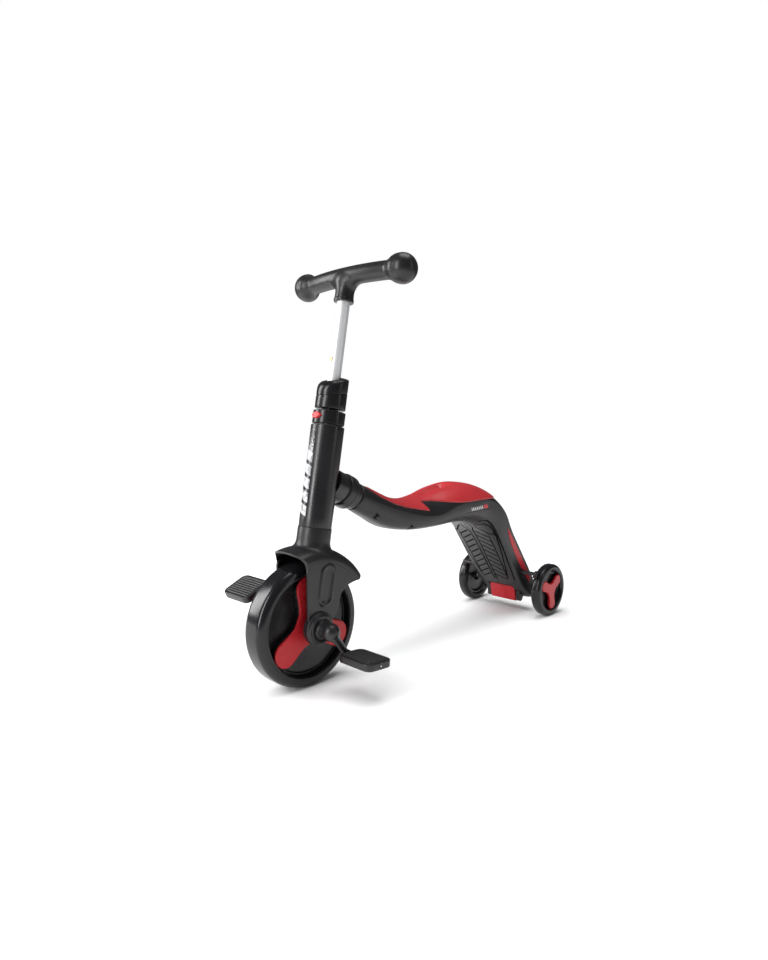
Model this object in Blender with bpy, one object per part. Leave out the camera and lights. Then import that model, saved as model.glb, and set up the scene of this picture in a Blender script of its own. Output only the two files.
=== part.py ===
"""A three-in-one children's scooter, standing as a pedal tricycle.

The front wheel carries direct-drive cranks. A fork moulded with its mudguard turns in a head sleeve,
and a neck stub on the sleeve carries the S-shaped rear body, which turns half round on the neck axis
so that its ribbed foot deck lies level. A red saddle, a brake pedal and two small wheels complete it.

Lengths are in millimetres up to to_metres. X is the rider's left, the front wheel points to -Y.
Side views are pairs (y, z) with y measured back from the front hub and z up from the floor.
"""

from math import atan2, cos, degrees, pi, radians, sin

import bmesh
import bpy
import numpy as np
from mathutils import Matrix, Vector

MM = 0.001
CLEARANCE = 0.3

# Wheels
WHEELBASE = 618.8
FRONT_RADIUS = 102.5
FRONT_HALF_WIDTH = 24.5
REAR_RADIUS = 57.4
REAR_HALF_WIDTH = 12.5
REAR_TRACK_HALF = 98.75
MIDDLE_Y = 286.9

# Steering column, lengths along the steering axis from the front hub
RAKE = radians(10.2)
COLLAR_RADIUS = 28.5
CROWN_TOP = 159.0
SLEEVE_TOP = 328.0
BUTTON_RING_FOOT = 330.0
BUTTON_RING_TOP = 352.0
CLAMP_FOOT = 356.0
CLAMP_RADIUS = 25.8
CLAMP_NECK = 12.2
CLAMP_WALL = 396.5
CLAMP_WALL_SLANT = 11.5
CLAMP_TOP = 407.5
CLAMP_TOP_SLANT = 5.0
COLLAR_STEP = 374.5
BUTTON_LEVEL = 342.5
STEM_SCREW_LEVEL = 438.8
SOCKET_FOOT = 537.5
BAR_LEVEL = 580.0
STEM_RADIUS = 11.15
STEERER_RADIUS = 14.0
STEERER_BORE = 11.45

# Handlebar
BAR_RADIUS = 15.4
BAR_BALL_RADIUS = 24.4
BAR_BALL_X = 115.7
BAR_SWEEP = 12.2

# Neck, lengths along the neck axis from where it meets the steering axis
NECK_SLOPE = radians(26.0)
NECK_START = (42.5, 338.4)
STUB_END = 44.3
LOCK_RING_END = 78.7
NECK_RADIUS = 15.0

# Cranks and pedals
CRANK_LENGTH = 53.0
CRANK_ANGLE = radians(-53.0)
CRANK_X = 70.1
CRANK_BALL_RADIUS = 14.6
AXLE_RADIUS = 5.8
SPINDLE_RADIUS = 3.9
PEDAL_LENGTH = 70.0
PEDAL_DEPTH = 54.0
PEDAL_THICKNESS = 12.0
PEDAL_INNER_X = 77.0
PEDAL_TILT_LEFT = radians(-4.0)
PEDAL_TILT_RIGHT = radians(24.6)

# Fork
LEG_INNER_X = 34.0
LEG_OUTER_X = 41.0
HUB_BOSS_RADIUS = 27.5
GUARD_RADIUS = 127.0

# Rear body: stations of the S-shaped loft as side-view centre (y, z), slope in degrees, half width,
# height over the centre, height of the widest level, depth under it, squareness of the underside,
# crown of the underside, and two exponents that shape the top
STATIONS = (
    (114.4, 303.5, -26.0, 24.5, 24.5, 0.0, 24.5, 2.0, 0.0, 0.50, 2.0),
    (150.0, 286.5, -26.0, 29.0, 22.0, 1.0, 29.0, 2.3, 0.0, 0.60, 2.0),
    (195.0, 268.5, -19.0, 38.0, 21.0, 2.0, 34.0, 2.6, 0.0, 0.80, 2.0),
    (240.0, 258.0, -7.0, 48.0, 26.0, 0.0, 31.0, 3.0, 0.0, 0.95, 2.1),
    (290.0, 256.0, 3.0, 56.0, 38.0, 0.0, 27.5, 3.0, 0.0, 1.00, 2.2),
    (345.0, 258.0, 3.0, 60.0, 45.5, 13.0, 27.0, 3.2, 0.0, 1.00, 2.7),
    (400.0, 257.0, -8.0, 62.0, 49.0, 17.0, 27.0, 3.6, 2.0, 0.95, 2.9),
    (445.0, 243.0, -26.0, 62.0, 48.0, 27.0, 24.0, 4.2, 4.0, 0.80, 3.0),
    (478.0, 218.0, -44.0, 62.0, 41.5, 30.0, 19.0, 5.0, 6.0, 0.65, 4.0),
    (505.0, 187.0, -52.5, 61.5, 30.0, 24.0, 17.0, 6.5, 7.0, 0.58, 5.0),
    (550.0, 128.5, -52.5, 61.0, 28.5, 23.0, 16.5, 7.0, 7.5, 0.55, 6.0),
    (585.0, 83.0, -52.5, 61.0, 28.0, 22.0, 16.5, 7.0, 6.0, 0.55, 6.0),
    (606.0, 55.5, -52.5, 61.0, 26.5, 19.0, 17.0, 6.0, 0.0, 0.55, 6.0),
    (617.0, 41.2, -52.5, 61.0, 24.0, 11.0, 12.0, 5.0, 0.0, 0.55, 6.0),
    (623.5, 32.7, -52.5, 60.0, 19.0, 7.0, 6.0, 4.0, 0.0, 0.55, 5.0),
)
RINGS = 21
CAVITY_RINGS = 10
TOP_POINTS = 6
UNDER_POINTS = 7
WALL = 4.0
SADDLE_WALL = 7.2
SADDLE_DEPTH = 4.0
SADDLE_PROUD = 2.0
CHANNEL_START = 262.0
CHANNEL_END = 374.0
CHANNEL_HALF_WIDTH = 7.5
CHANNEL_DEPTH = 3.6
SHELL_SOLVER = "MANIFOLD"
FLAT_ANGLE = 0.6

# Deck, in its own side-view frame: down the slope, and inwards from the tread
DECK_POINT = (534.5, 119.9)
DECK_SLOPE = radians(52.5)
AXLE_RADIUS_REAR = 4.0
AXLE_HOUSING_RADIUS = 12.0
PEDAL_HALF_WIDTH = 32.5
BRAKE_PIN = (51.6, 32.9)
BRAKE_BAR = (38.2, 16.3)
BRAKE_BAR_RADIUS = 4.0
SHOE_GAP = 1.9
TREAD_EDGE = 1.0
TREAD_CROWN = 7.5
TREAD_FIRST = -103.0
TREAD_STEP = 15.6

REAR_AXLE = (WHEELBASE, REAR_RADIUS)
FRONT_HUB = (0.0, FRONT_RADIUS)


def to_metres(points):
    """Points in millimetres from the front hub's foot, as metres from the middle of the footprint."""
    return (np.asarray(points, float) - (0.0, MIDDLE_Y, 0.0)) * MM


def frame_at(x, y, z, axis, across):
    """A placing matrix with its Z along axis and its X along across."""
    up = Vector(axis).normalized()
    side = Vector(across).normalized()
    third = up.cross(side)
    matrix = Matrix((side, third, up)).transposed().to_4x4()
    matrix.translation = Vector(to_metres((x, y, z)))
    return matrix


def wheel_frame(side_view, x=0.0):
    """Local Z along world X, local X backwards and local Y up."""
    return frame_at(x, side_view[0], side_view[1], (1, 0, 0), (0, 1, 0))


STEER_DIRECTION = (0.0, sin(RAKE), cos(RAKE))
NECK_DIRECTION = (0.0, cos(NECK_SLOPE), -sin(NECK_SLOPE))
STEER = frame_at(0.0, *FRONT_HUB, STEER_DIRECTION, (1, 0, 0))
NECK = frame_at(0.0, *NECK_START, NECK_DIRECTION, (1, 0, 0))


def clear_scene():
    for old in list(bpy.data.objects):
        bpy.data.objects.remove(old)


def plastic(name, colour, roughness, metallic=0.0):
    made = bpy.data.materials.new(name)
    made.use_nodes = True
    shader = made.node_tree.nodes["Principled BSDF"]
    shader.inputs["Base Color"].default_value = (*colour, 1.0)
    shader.inputs["Roughness"].default_value = roughness
    shader.inputs["Metallic"].default_value = metallic
    made.diffuse_color = (*colour, 1.0)
    return made


def add_object(name, mesh, placing, material=None):
    made = bpy.data.objects.new(name, mesh)
    bpy.context.scene.collection.objects.link(made)
    made.matrix_world = placing
    if material:
        mesh.materials.append(material)
    return made


def bake(piece):
    """Makes the modifiers' result the piece's own mesh, faces outward."""
    graph = bpy.context.evaluated_depsgraph_get()
    mesh = bpy.data.meshes.new_from_object(piece.evaluated_get(graph))
    piece.modifiers.clear()
    piece.data = mesh
    solid = bmesh.new()
    solid.from_mesh(mesh)
    if solid.calc_volume(signed=True) < 0:
        bmesh.ops.reverse_faces(solid, faces=solid.faces)
        solid.to_mesh(mesh)
    solid.free()
    return piece


def smooth(piece, angle=32.0):
    piece.data.shade_smooth()
    piece.data.set_sharp_from_angle(angle=radians(angle))
    return piece


def revolve(name, profile, steps, placing, material=None, closed=False):
    """Turns a profile of (radius, height) pairs, outer side top to bottom, about the local Z."""
    points = [(radius * MM, 0.0, height * MM) for radius, height in profile]
    edges = [(i, i + 1) for i in range(len(points) - 1)]
    if closed:
        edges.append((len(points) - 1, 0))
    mesh = bpy.data.meshes.new(name)
    mesh.from_pydata(points, edges, [])
    made = add_object(name, mesh, placing, material)
    screw = made.modifiers.new("turn", "SCREW")
    screw.angle = 2 * pi
    screw.steps = steps
    screw.render_steps = steps
    screw.use_merge_vertices = True
    screw.merge_threshold = 0.00002
    return smooth(bake(made))


def tube(name, outer, inner, low, high, steps, placing, material=None):
    profile = [(inner, high), (outer, high), (outer, low), (inner, low)]
    return revolve(name, profile, steps, placing, material, closed=True)


def rod(name, radius, low, high, steps, placing, material=None, chamfer=0.0):
    profile = [(0.0, high), (radius - chamfer, high), (radius, high - chamfer)]
    profile += [(radius, low + chamfer), (radius - chamfer, low), (0.0, low)]
    if not chamfer:
        profile = [(0.0, high), (radius, high), (radius, low), (0.0, low)]
    return revolve(name, profile, steps, placing, material)


def ball(name, radius, placing, material=None, steps=24, rows=12):
    turn = [pi * i / rows for i in range(rows + 1)]
    profile = [(abs(radius * sin(a)), radius * cos(a)) for a in turn]
    profile[0] = (0.0, radius)
    profile[-1] = (0.0, -radius)
    return revolve(name, profile, steps, placing, material)


def prism(name, outline, low, high, placing, material=None, bevel=0.0, segments=2):
    """An outline in the local XY plane, extruded from low to high along the local Z."""
    shape = bmesh.new()
    corners = [shape.verts.new((x * MM, y * MM, low * MM)) for x, y in outline]
    face = shape.faces.new(corners)
    raised = bmesh.ops.extrude_face_region(shape, geom=[face])["geom"]
    moved = [item for item in raised if isinstance(item, bmesh.types.BMVert)]
    bmesh.ops.translate(shape, verts=moved, vec=(0, 0, (high - low) * MM))
    bmesh.ops.recalc_face_normals(shape, faces=shape.faces)
    mesh = bpy.data.meshes.new(name)
    shape.to_mesh(mesh)
    shape.free()
    made = add_object(name, mesh, placing, material)
    if bevel:
        rounding = made.modifiers.new("edges", "BEVEL")
        rounding.width = bevel * MM
        rounding.segments = segments
        rounding.limit_method = "ANGLE"
        rounding.angle_limit = radians(50)
    return smooth(bake(made))


def loft(name, rings, placing=None, material=None):
    """Skins a row of rings, given in millimetres, and closes both ends."""
    rings = np.asarray(rings, float)
    count, around = rings.shape[:2]
    place = placing or Matrix()
    points = rings.reshape(-1, 3) * MM if placing else to_metres(rings.reshape(-1, 3))
    faces = []
    for i in range(count - 1):
        for j in range(around):
            a = i * around + j
            b = i * around + (j + 1) % around
            c = b + around
            d = a + around
            faces += [(a, b, c), (a, c, d)] if 2 * j < around else [(a, b, d), (b, c, d)]
    faces.append(tuple(range(around))[::-1])
    faces.append(tuple((count - 1) * around + j for j in range(around)))
    mesh = bpy.data.meshes.new(name)
    mesh.from_pydata(points.tolist(), [], faces)
    return smooth(bake(add_object(name, mesh, place, material)))


def is_closed(mesh):
    """Whether every edge has exactly two faces, and there are faces at all."""
    shape = bmesh.new()
    shape.from_mesh(mesh)
    closed = len(shape.faces) > 0 and all(edge.is_manifold for edge in shape.edges)
    shape.free()
    return closed


def combine(piece, other, operation, first="EXACT"):
    """Joins, cuts or keeps two pieces, after which only the first is left and it is closed."""
    before = piece.data.copy()
    for solver in (first, "MANIFOLD"):
        piece.data = before.copy()
        step = piece.modifiers.new(operation.lower(), "BOOLEAN")
        step.operation = operation
        step.solver = solver
        step.object = other
        bpy.context.view_layer.update()
        bake(piece)
        if is_closed(piece.data):
            break
    bpy.data.objects.remove(other)
    return smooth(piece)


def join(piece, *others, first="EXACT"):
    for other in others:
        combine(piece, other, "UNION", first)
    return piece


def cut(piece, *others, first="EXACT"):
    for other in others:
        combine(piece, other, "DIFFERENCE", first)
    return piece


def keep(piece, other, first="EXACT"):
    return combine(piece, other, "INTERSECT", first)


def copy_of(piece, name):
    made = piece.copy()
    made.data = piece.data.copy()
    made.name = name
    bpy.context.scene.collection.objects.link(made)
    return made


def mirrored(piece, name):
    """The same piece on the other side of the middle plane."""
    made = copy_of(piece, name)
    world = made.matrix_world.copy()
    made.matrix_world = Matrix()
    made.data.transform(world)
    made.data.transform(Matrix.Scale(-1, 4, (1, 0, 0)))
    made.data.flip_normals()
    return smooth(made)


def arc(cx, cy, radius, start, end, count):
    """Points on an arc, angles in degrees."""
    turn = np.radians(np.linspace(start, end, count))
    return [(cx + radius * cos(a), cy + radius * sin(a)) for a in turn]


# Wheels


def tyre(name, radius, half, rounding, lip, bore, bore_half, steps, placing, material):
    """A solid tyre: rounded tread, a narrow raised lip and a bevel down to the rim's seat."""
    top = [(bore, bore_half), (lip, half - 2.1), (lip + 1.6, half - 0.6), (lip + 3.0, half - 1.2)]
    shoulder = arc(radius - rounding, half - rounding, rounding, 80, 0, 4)
    upper = top + shoulder
    lower = [(r, -h) for r, h in reversed(upper)]
    return revolve(name, upper + lower, steps, placing, material, closed=True)


def three_lobes(length, end_radius, waist, hub, turn):
    """The outline of three paddles with round ends and hollow flanks, 120 degrees apart."""
    outline = []
    for k in range(3):
        direction = turn + k * 120.0
        centre = length - end_radius
        lobe = [(hub, -waist * 0.98), (centre * 0.62, -waist), (centre * 0.88, -end_radius * 0.86)]
        lobe += arc(centre, 0.0, end_radius, -75, 75, 5)
        lobe += [(x, -y) for x, y in lobe[2::-1]]
        c, s = cos(radians(direction)), sin(radians(direction))
        outline += [(c * x - s * y, s * x + c * y) for x, y in lobe]
    return outline


def front_wheel(finish):
    placing = wheel_frame(FRONT_HUB)
    tyre("front_tyre", FRONT_RADIUS, FRONT_HALF_WIDTH, 11.3, 84.9, 82.0, 12.0, 28, placing, finish["tyre"])
    seat = 82.0 - CLEARANCE
    upper = [(6.2, 32.5), (15.0, 32.5), (16.8, 11.9), (27.0, 11.9)]
    upper += [(28.0, 8.5), (78.6, 8.5), (79.6, 11.8), (seat, 11.8)]
    profile = upper + [(r, -h) for r, h in reversed(upper)]
    revolve("front_rim", profile, 28, placing, finish["black"], closed=True)
    for side, name in ((1, "front_spoke_left"), (-1, "front_spoke_right")):
        lobes = three_lobes(81.2, 22.0, 19.5, 26.0, 95.5)
        low, high = sorted((side * 12.2, side * 21.0))
        spoke = prism(name, lobes, low, high, placing, finish["red"], bevel=1.4, segments=1)
        cut(spoke, rod("hub_clear", 17.4, -40, 40, 18, placing))
    rod("front_axle", AXLE_RADIUS, -65.5, 65.5, 14, placing, finish["steel"], chamfer=0.8)


def crank(name, side, finish):
    """A ball-ended crank with its stub, arm and eye, for one side."""
    y = side * CRANK_LENGTH * cos(CRANK_ANGLE)
    z = FRONT_RADIUS + side * CRANK_LENGTH * sin(CRANK_ANGLE)
    hub = wheel_frame(FRONT_HUB)
    body = ball(name, CRANK_BALL_RADIUS, wheel_frame(FRONT_HUB, side * CRANK_X), finish["black"], 16, 7)
    stub = sorted((side * 45.0, side * 68.0))
    join(body, rod("stub", 11.0, *stub, 14, hub))
    direction = (0.0, y, z - FRONT_RADIUS)
    arm = frame_at(side * CRANK_X, *FRONT_HUB, direction, (1, 0, 0))
    neck = [(0.0, CRANK_LENGTH), (5.0, CRANK_LENGTH), (5.0, 20.0), (7.5, 10.0), (7.5, 4.0), (0.0, 4.0)]
    join(body, revolve("arm", neck, 12, arm))
    eye = sorted((side * 64.5, side * 75.6))
    eye_frame = wheel_frame((y, z))
    join(body, rod("eye", 7.2, *eye, 14, eye_frame, chamfer=1.0))
    deep = sorted((side * 40.0, side * 66.0))
    cut(body, rod("axle_socket", AXLE_RADIUS + CLEARANCE, *deep, 14, hub))
    cut(body, rod("spindle_hole", SPINDLE_RADIUS + CLEARANCE, *sorted((side * 60, side * 80)), 12, eye_frame))
    return y, z


def pedal(name, side, y, z, tilt, finish):
    """A foot pedal with its spindle and a ribbed tread on each face."""
    axis = wheel_frame((y, z))
    ends = sorted((side * 65.0, side * (PEDAL_INNER_X + PEDAL_LENGTH - 4.0)))
    rod("pedal_spindle_" + name, SPINDLE_RADIUS, *ends, 12, axis, finish["steel"], chamfer=0.6)
    middle = side * (PEDAL_INNER_X + PEDAL_LENGTH / 2)
    up = (0.0, -sin(tilt), cos(tilt))
    flat = frame_at(middle, y, z, up, (1, 0, 0))
    half_x, half_y = PEDAL_LENGTH / 2, PEDAL_DEPTH / 2
    outline = rounded_box(half_x, half_y, 12.0)
    half = PEDAL_THICKNESS / 2
    body = prism("pedal_body_" + name, outline, -half, half, flat, finish["black"], bevel=1.5, segments=1)
    cut(body, rod("bore", SPINDLE_RADIUS + CLEARANCE, -150, 150, 12, axis))
    outer = sorted((side * (PEDAL_INNER_X + PEDAL_LENGTH - 6.0), side * 160.0))
    cut(body, rod("recess", 5.4, *outer, 12, axis))
    for face, word in ((1, "top"), (-1, "under")):
        low, high = sorted((face * (half - 1.6), face * (half + 5)))
        inner = rounded_box(half_x - 6.0, half_y - 6.0, 4.0)
        cut(body, prism("tread_pocket", inner, low, high, flat))
        inner = rounded_box(half_x - 6.0 - CLEARANCE, half_y - 6.0 - CLEARANCE, 3.8)
        low, high = sorted((face * (half - 1.6 + CLEARANCE), face * (half + 0.4)))
        tread = prism(f"pedal_tread_{word}_{name}", inner, low, high, flat, finish["rubber"])
        for k in range(-3, 4):
            rib = [(-40, k * 5.4 - 0.7), (40, k * 5.4 - 0.7), (40, k * 5.4 + 0.7), (-40, k * 5.4 + 0.7)]
            groove = sorted((face * (half - 0.3), face * (half + 4)))
            cut(tread, prism("groove", rib, *groove, flat))


def rounded_box(half_x, half_y, radius):
    """A rectangle about the local origin with round corners."""
    x, y = half_x - radius, half_y - radius
    corners = ((x, y, 0), (-x, y, 90), (-x, -y, 180), (x, -y, 270))
    outline = []
    for cx, cy, start in corners:
        outline += arc(cx, cy, radius, start, start + 90, 4)
    return outline


def rear_wheel(name, side, finish):
    placing = wheel_frame(REAR_AXLE, side * REAR_TRACK_HALF)
    tyre("rear_tyre_" + name, REAR_RADIUS, REAR_HALF_WIDTH, 9.5, 41.5, 39.0, 7.0, 20, placing, finish["tyre"])
    seat = 39.0 - CLEARANCE
    outward = [(4.35, 4.05), (12.0, 4.05), (13.0, 1.0), (37.6, 1.0), (38.0, 2.5), (seat, 2.5)]
    inward = [(seat, -6.5), (36.0, -6.5), (32.0, -1.0), (12.0, -2.5), (9.0, -14.5), (4.35, -14.5)]
    profile = [(r, side * h) for r, h in outward + inward]
    revolve("rear_rim_" + name, profile, 20, placing, finish["black"], closed=True)
    low, high = sorted((side * 4.35, side * 10.0))
    lobes = three_lobes(38.2, 10.5, 9.0, 12.0, 156.0)
    prism("rear_spoke_" + name, lobes, low, high, placing, finish["red"])


# Steering column


def mudguard_ring(angle, reach, low_radius, thickness=3.5):
    """A section of the guard at an angle about the hub: crown, shoulder and skirt, outside then inside."""
    side = LEG_OUTER_X + 0.2
    outer = [(0, GUARD_RADIUS), (14, GUARD_RADIUS - 0.6), (26, GUARD_RADIUS - 2.8)]
    outer += [(34, GUARD_RADIUS - 6.6), (38.8, GUARD_RADIUS - 11.6)]
    outer += [(side, GUARD_RADIUS - 18.0), (side, low_radius)]
    inner = [(x - thickness if x > 30 else x * 0.93, r - thickness) for x, r in outer[:-1]]
    inner.append((side - thickness, low_radius))
    right = [(x, r + reach) for x, r in outer] + [(x, r + reach) for x, r in reversed(inner)]
    left = [(-x, r) for x, r in right[::-1]]
    section = right[:-1] + left[:-1]
    c, s = cos(radians(angle)), sin(radians(angle))
    return [(x, r * c, FRONT_RADIUS + r * s) for x, r in section]


def fork(finish):
    """The fork and mudguard in one moulding, with hub bosses and the flared crown."""
    angles = np.linspace(35.5, 106.0, 9)
    rings = []
    for angle in angles:
        flare = 3.0 * max(0.0, (angle - 98.0) / 8.0)
        rings.append(mudguard_ring(angle, flare, 103.0))
    fork_body = loft("fork", rings, material=finish["black"])
    leg = [(-22, 99), (-22, 205), (0, 208.5), (22, 206), (44, 198), (70, 181), (88, 166.5)]
    leg += [(64.6, 161.5), (54, 156), (47.6, 147.8), (42, 134), (38, 119)]
    leg += arc(0, FRONT_RADIUS, HUB_BOSS_RADIUS, 12, -180, 10)[:-1]
    for side in (1, -1):
        low, high = sorted((side * LEG_INNER_X, side * LEG_OUTER_X))
        outline = [(y, z - FRONT_RADIUS) for y, z in leg]
        plate = prism("leg", outline, low, high, wheel_frame(FRONT_HUB), bevel=1.8, segments=1)
        low, high = sorted((side * LEG_INNER_X, side * 45.0))
        join(plate, rod("boss", HUB_BOSS_RADIUS, low, high, 18, wheel_frame(FRONT_HUB)))
        low, high = sorted((side * 40.0, side * 52.0))
        join(plate, rod("boss_ring", 22.0, low, high, 18, wheel_frame(FRONT_HUB)))
        emboss = frame_at(0, 17.5, 170.0, (side, 0, 0), (0, sin(RAKE), cos(RAKE)))
        slot = arc(19, 0, 17, -90, 90, 6) + arc(-19, 0, 17, 90, 270, 6)
        join(plate, prism("emboss", slot, LEG_OUTER_X - 2, LEG_OUTER_X + 2.0, emboss, bevel=1.2, segments=1))
        slot = arc(19, 0, 11, -90, 90, 5) + arc(-19, 0, 11, 90, 270, 5)
        cut(plate, prism("dish", slot, LEG_OUTER_X + 0.3, LEG_OUTER_X + 8, emboss))
        join(fork_body, plate)
    socket = STEERER_RADIUS + CLEARANCE
    cup = [(0, 124.0), (socket, 124.0), (socket, CROWN_TOP - CLEARANCE), (COLLAR_RADIUS, CROWN_TOP - CLEARANCE)]
    cup += [(COLLAR_RADIUS, 138), (29.2, 132), (31.0, 128), (33.5, 124.5), (36.0, 121), (36.0, 112), (0, 112)]
    cut(fork_body, rod("crown_space", 21.0, 114.0, 200, 16, STEER))
    join(fork_body, revolve("crown", cup, 22, STEER))
    hub = wheel_frame(FRONT_HUB)
    cut(fork_body, rod("bush_bore", 10.5, -80, 80, 12, hub))
    for side in (1, -1):
        low, high = sorted((side * 44.0, side * 60.0))
        cut(fork_body, rod("boss_recess", 17.0, low, high, 18, hub))
        low, high = sorted((side * 33.6, side * 43.7))
        tube(f"front_bush_{'left' if side > 0 else 'right'}", 10.0, 6.2, low, high, 12, hub, finish["nylon"])
    fork_body.name = "fork_mudguard"
    return fork_body


def head_sleeve(finish):
    """The sleeve that the steerer turns in, with the neck stub fused to its back."""
    sleeve = [(0, SLEEVE_TOP), (28.0, SLEEVE_TOP), (27.6, CROWN_TOP), (0, CROWN_TOP)]
    body = revolve("head_sleeve", sleeve, 26, STEER, finish["black"])
    join(body, rod("stub", 27.3, 4.0, STUB_END, 22, NECK, chamfer=1.0))
    cut(body, rod("bore", 17.6, CROWN_TOP - 5, SLEEVE_TOP + 5, 20, STEER))
    cut(body, rod("neck_socket", NECK_RADIUS + CLEARANCE, 24.0, STUB_END + 5, 20, NECK))
    lower = [(14.4, 172.0), (17.2, 172.0), (17.2, CROWN_TOP + 0.3), (14.4, CROWN_TOP + 0.3)]
    revolve("lower_bush", lower, 16, STEER, finish["nylon"], closed=True)
    upper = [(14.4, SLEEVE_TOP + 1.7), (24.0, SLEEVE_TOP + 1.7), (24.0, SLEEVE_TOP + 0.3)]
    upper += [(17.2, SLEEVE_TOP + 0.3), (17.2, SLEEVE_TOP - 12.0), (14.4, SLEEVE_TOP - 12.0)]
    revolve("upper_bush", upper, 16, STEER, finish["nylon"], closed=True)


def neck(finish):
    """The tube between head and body, its retaining flange, and the lock ring outside it."""
    tube("neck_tube", NECK_RADIUS, 12.4, 24.5, 126.0, 16, NECK, finish["steel"])
    tube("neck_flange", 17.2, NECK_RADIUS + 0.45, 103.5, 107.5, 16, NECK, finish["steel"])
    bore = NECK_RADIUS + 0.45
    ring = [(bore, LOCK_RING_END), (25.6, LOCK_RING_END), (26.2, LOCK_RING_END - 1), (26.4, 68.0)]
    ring += [(27.6, 67.0), (28.2, 64.5), (28.2, 47.5), (27.4, STUB_END + 0.6), (bore, STUB_END + 0.6)]
    revolve("neck_lock_ring", ring, 20, NECK, finish["black"], closed=True)


def collar_rings(steps=20):
    """Rings up the clamp collar: a round can whose slanted top edge closes in on the stem as a dome."""
    turn = np.linspace(0, 2 * pi, steps, endpoint=False)
    back = np.sin(turn)
    wall, top = CLAMP_WALL + CLAMP_WALL_SLANT * back, CLAMP_TOP + CLAMP_TOP_SLANT * back
    levels = [(CLAMP_RADIUS - 0.8, CLAMP_FOOT + 0 * back), (CLAMP_RADIUS, CLAMP_FOOT + 1.0 + 0 * back)]
    for share in np.linspace(0, pi / 2, 5):
        radius = CLAMP_NECK + (CLAMP_RADIUS - CLAMP_NECK) * cos(share) ** 0.85
        levels.append((radius, wall + (top - wall) * sin(share)))
    return [np.stack((r * np.cos(turn), r * back, level), axis=-1) for r, level in levels]


def column(finish):
    """Steerer, button ring, slanted clamp collar, sliding stem and handlebar."""
    tube("steerer_tube", STEERER_RADIUS, STEERER_BORE, 124.5, 374.0, 16, STEER, finish["steel"])
    ring = [(STEERER_RADIUS + CLEARANCE, BUTTON_RING_TOP), (26.4, BUTTON_RING_TOP)]
    ring += [(27.0, BUTTON_RING_TOP - 0.8)]
    ring += [(27.0, BUTTON_RING_FOOT + 0.4), (STEERER_RADIUS + CLEARANCE, BUTTON_RING_FOOT + 0.4)]
    holder = revolve("button_ring", ring, 20, STEER, finish["black"], closed=True)
    forward = button_frame()
    cut(holder, prism("button_pocket", button_outline(10.5, 6.2), 19.2, 40, forward))
    cut(holder, rod("spring_pocket", 5.3, 5.0, 22.0, 20, forward))
    button = prism("height_button", button_outline(10.0, 5.7), 23.8, 29.4, forward, finish["red"], bevel=0.9)
    join(button, rod("pin", 2.6, 15.7, 25.0, 16, forward))
    cut(bpy.data.objects["steerer_tube"], rod("pin_hole", 3.2, 5.0, 22.0, 16, forward))
    coil("button_spring", 4.0, 0.35, 15.1, 23.2, 4, forward, finish["steel"])
    collar = loft("stem_collar", collar_rings(), STEER, finish["black"])
    cut(collar, rod("stem_bore", STEM_RADIUS + CLEARANCE, 340, 440, 20, STEER))
    cut(collar, rod("steerer_bore", STEERER_RADIUS + CLEARANCE, 340, COLLAR_STEP, 20, STEER))
    stem = tube("stem_tube", STEM_RADIUS, 9.9, 232.0, 570.0, 16, STEER, finish["steel"])
    screw_frame = button_frame(STEM_SCREW_LEVEL)
    cut(stem, rod("screw_hole", 3.3, 5.0, 22.0, 12, screw_frame))
    head = rod("stem_screw", 2.7, 8.3, 9.9, 12, screw_frame, finish["brass"])
    for wide, tall in ((1.9, 0.45), (0.45, 1.9)):
        cross = [(-wide, -tall), (wide, -tall), (wide, tall), (-wide, tall)]
        cut(head, prism("cross", cross, 9.5, 14, screw_frame))


def button_outline(half_width, half_height):
    """A lozenge pointed at both sides with a blunt middle."""
    w, h = half_width, half_height
    return [(w, 0), (w * 0.55, h * 0.78), (w * 0.1, h), (-w * 0.45, h), (-w, h * 0.3)] + [
        (-w, -h * 0.3), (-w * 0.45, -h), (w * 0.1, -h), (w * 0.55, -h * 0.78)]


def button_frame(level=BUTTON_LEVEL):
    """A frame on the steering axis at a level, its Z pointing forwards out of the column."""
    y = FRONT_HUB[0] + level * sin(RAKE)
    z = FRONT_HUB[1] + level * cos(RAKE)
    return frame_at(0, y, z, (0, -cos(RAKE), sin(RAKE)), (1, 0, 0))


def coil(name, radius, wire, low, high, turns, placing, material, around=3, per_turn=8):
    """A helical spring as one tube along a helix."""
    count = turns * per_turn + 1
    rings = []
    for i in range(count):
        angle = 2 * pi * i / per_turn
        height = low + wire + (high - low - 2 * wire) * i / (count - 1)
        ring = []
        for j in range(around):
            turn = 2 * pi * j / around
            reach = radius + wire * cos(turn)
            ring.append((reach * cos(angle), reach * sin(angle), height + wire * sin(turn)))
        rings.append(ring)
    return loft(name, rings, placing, material)


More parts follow.
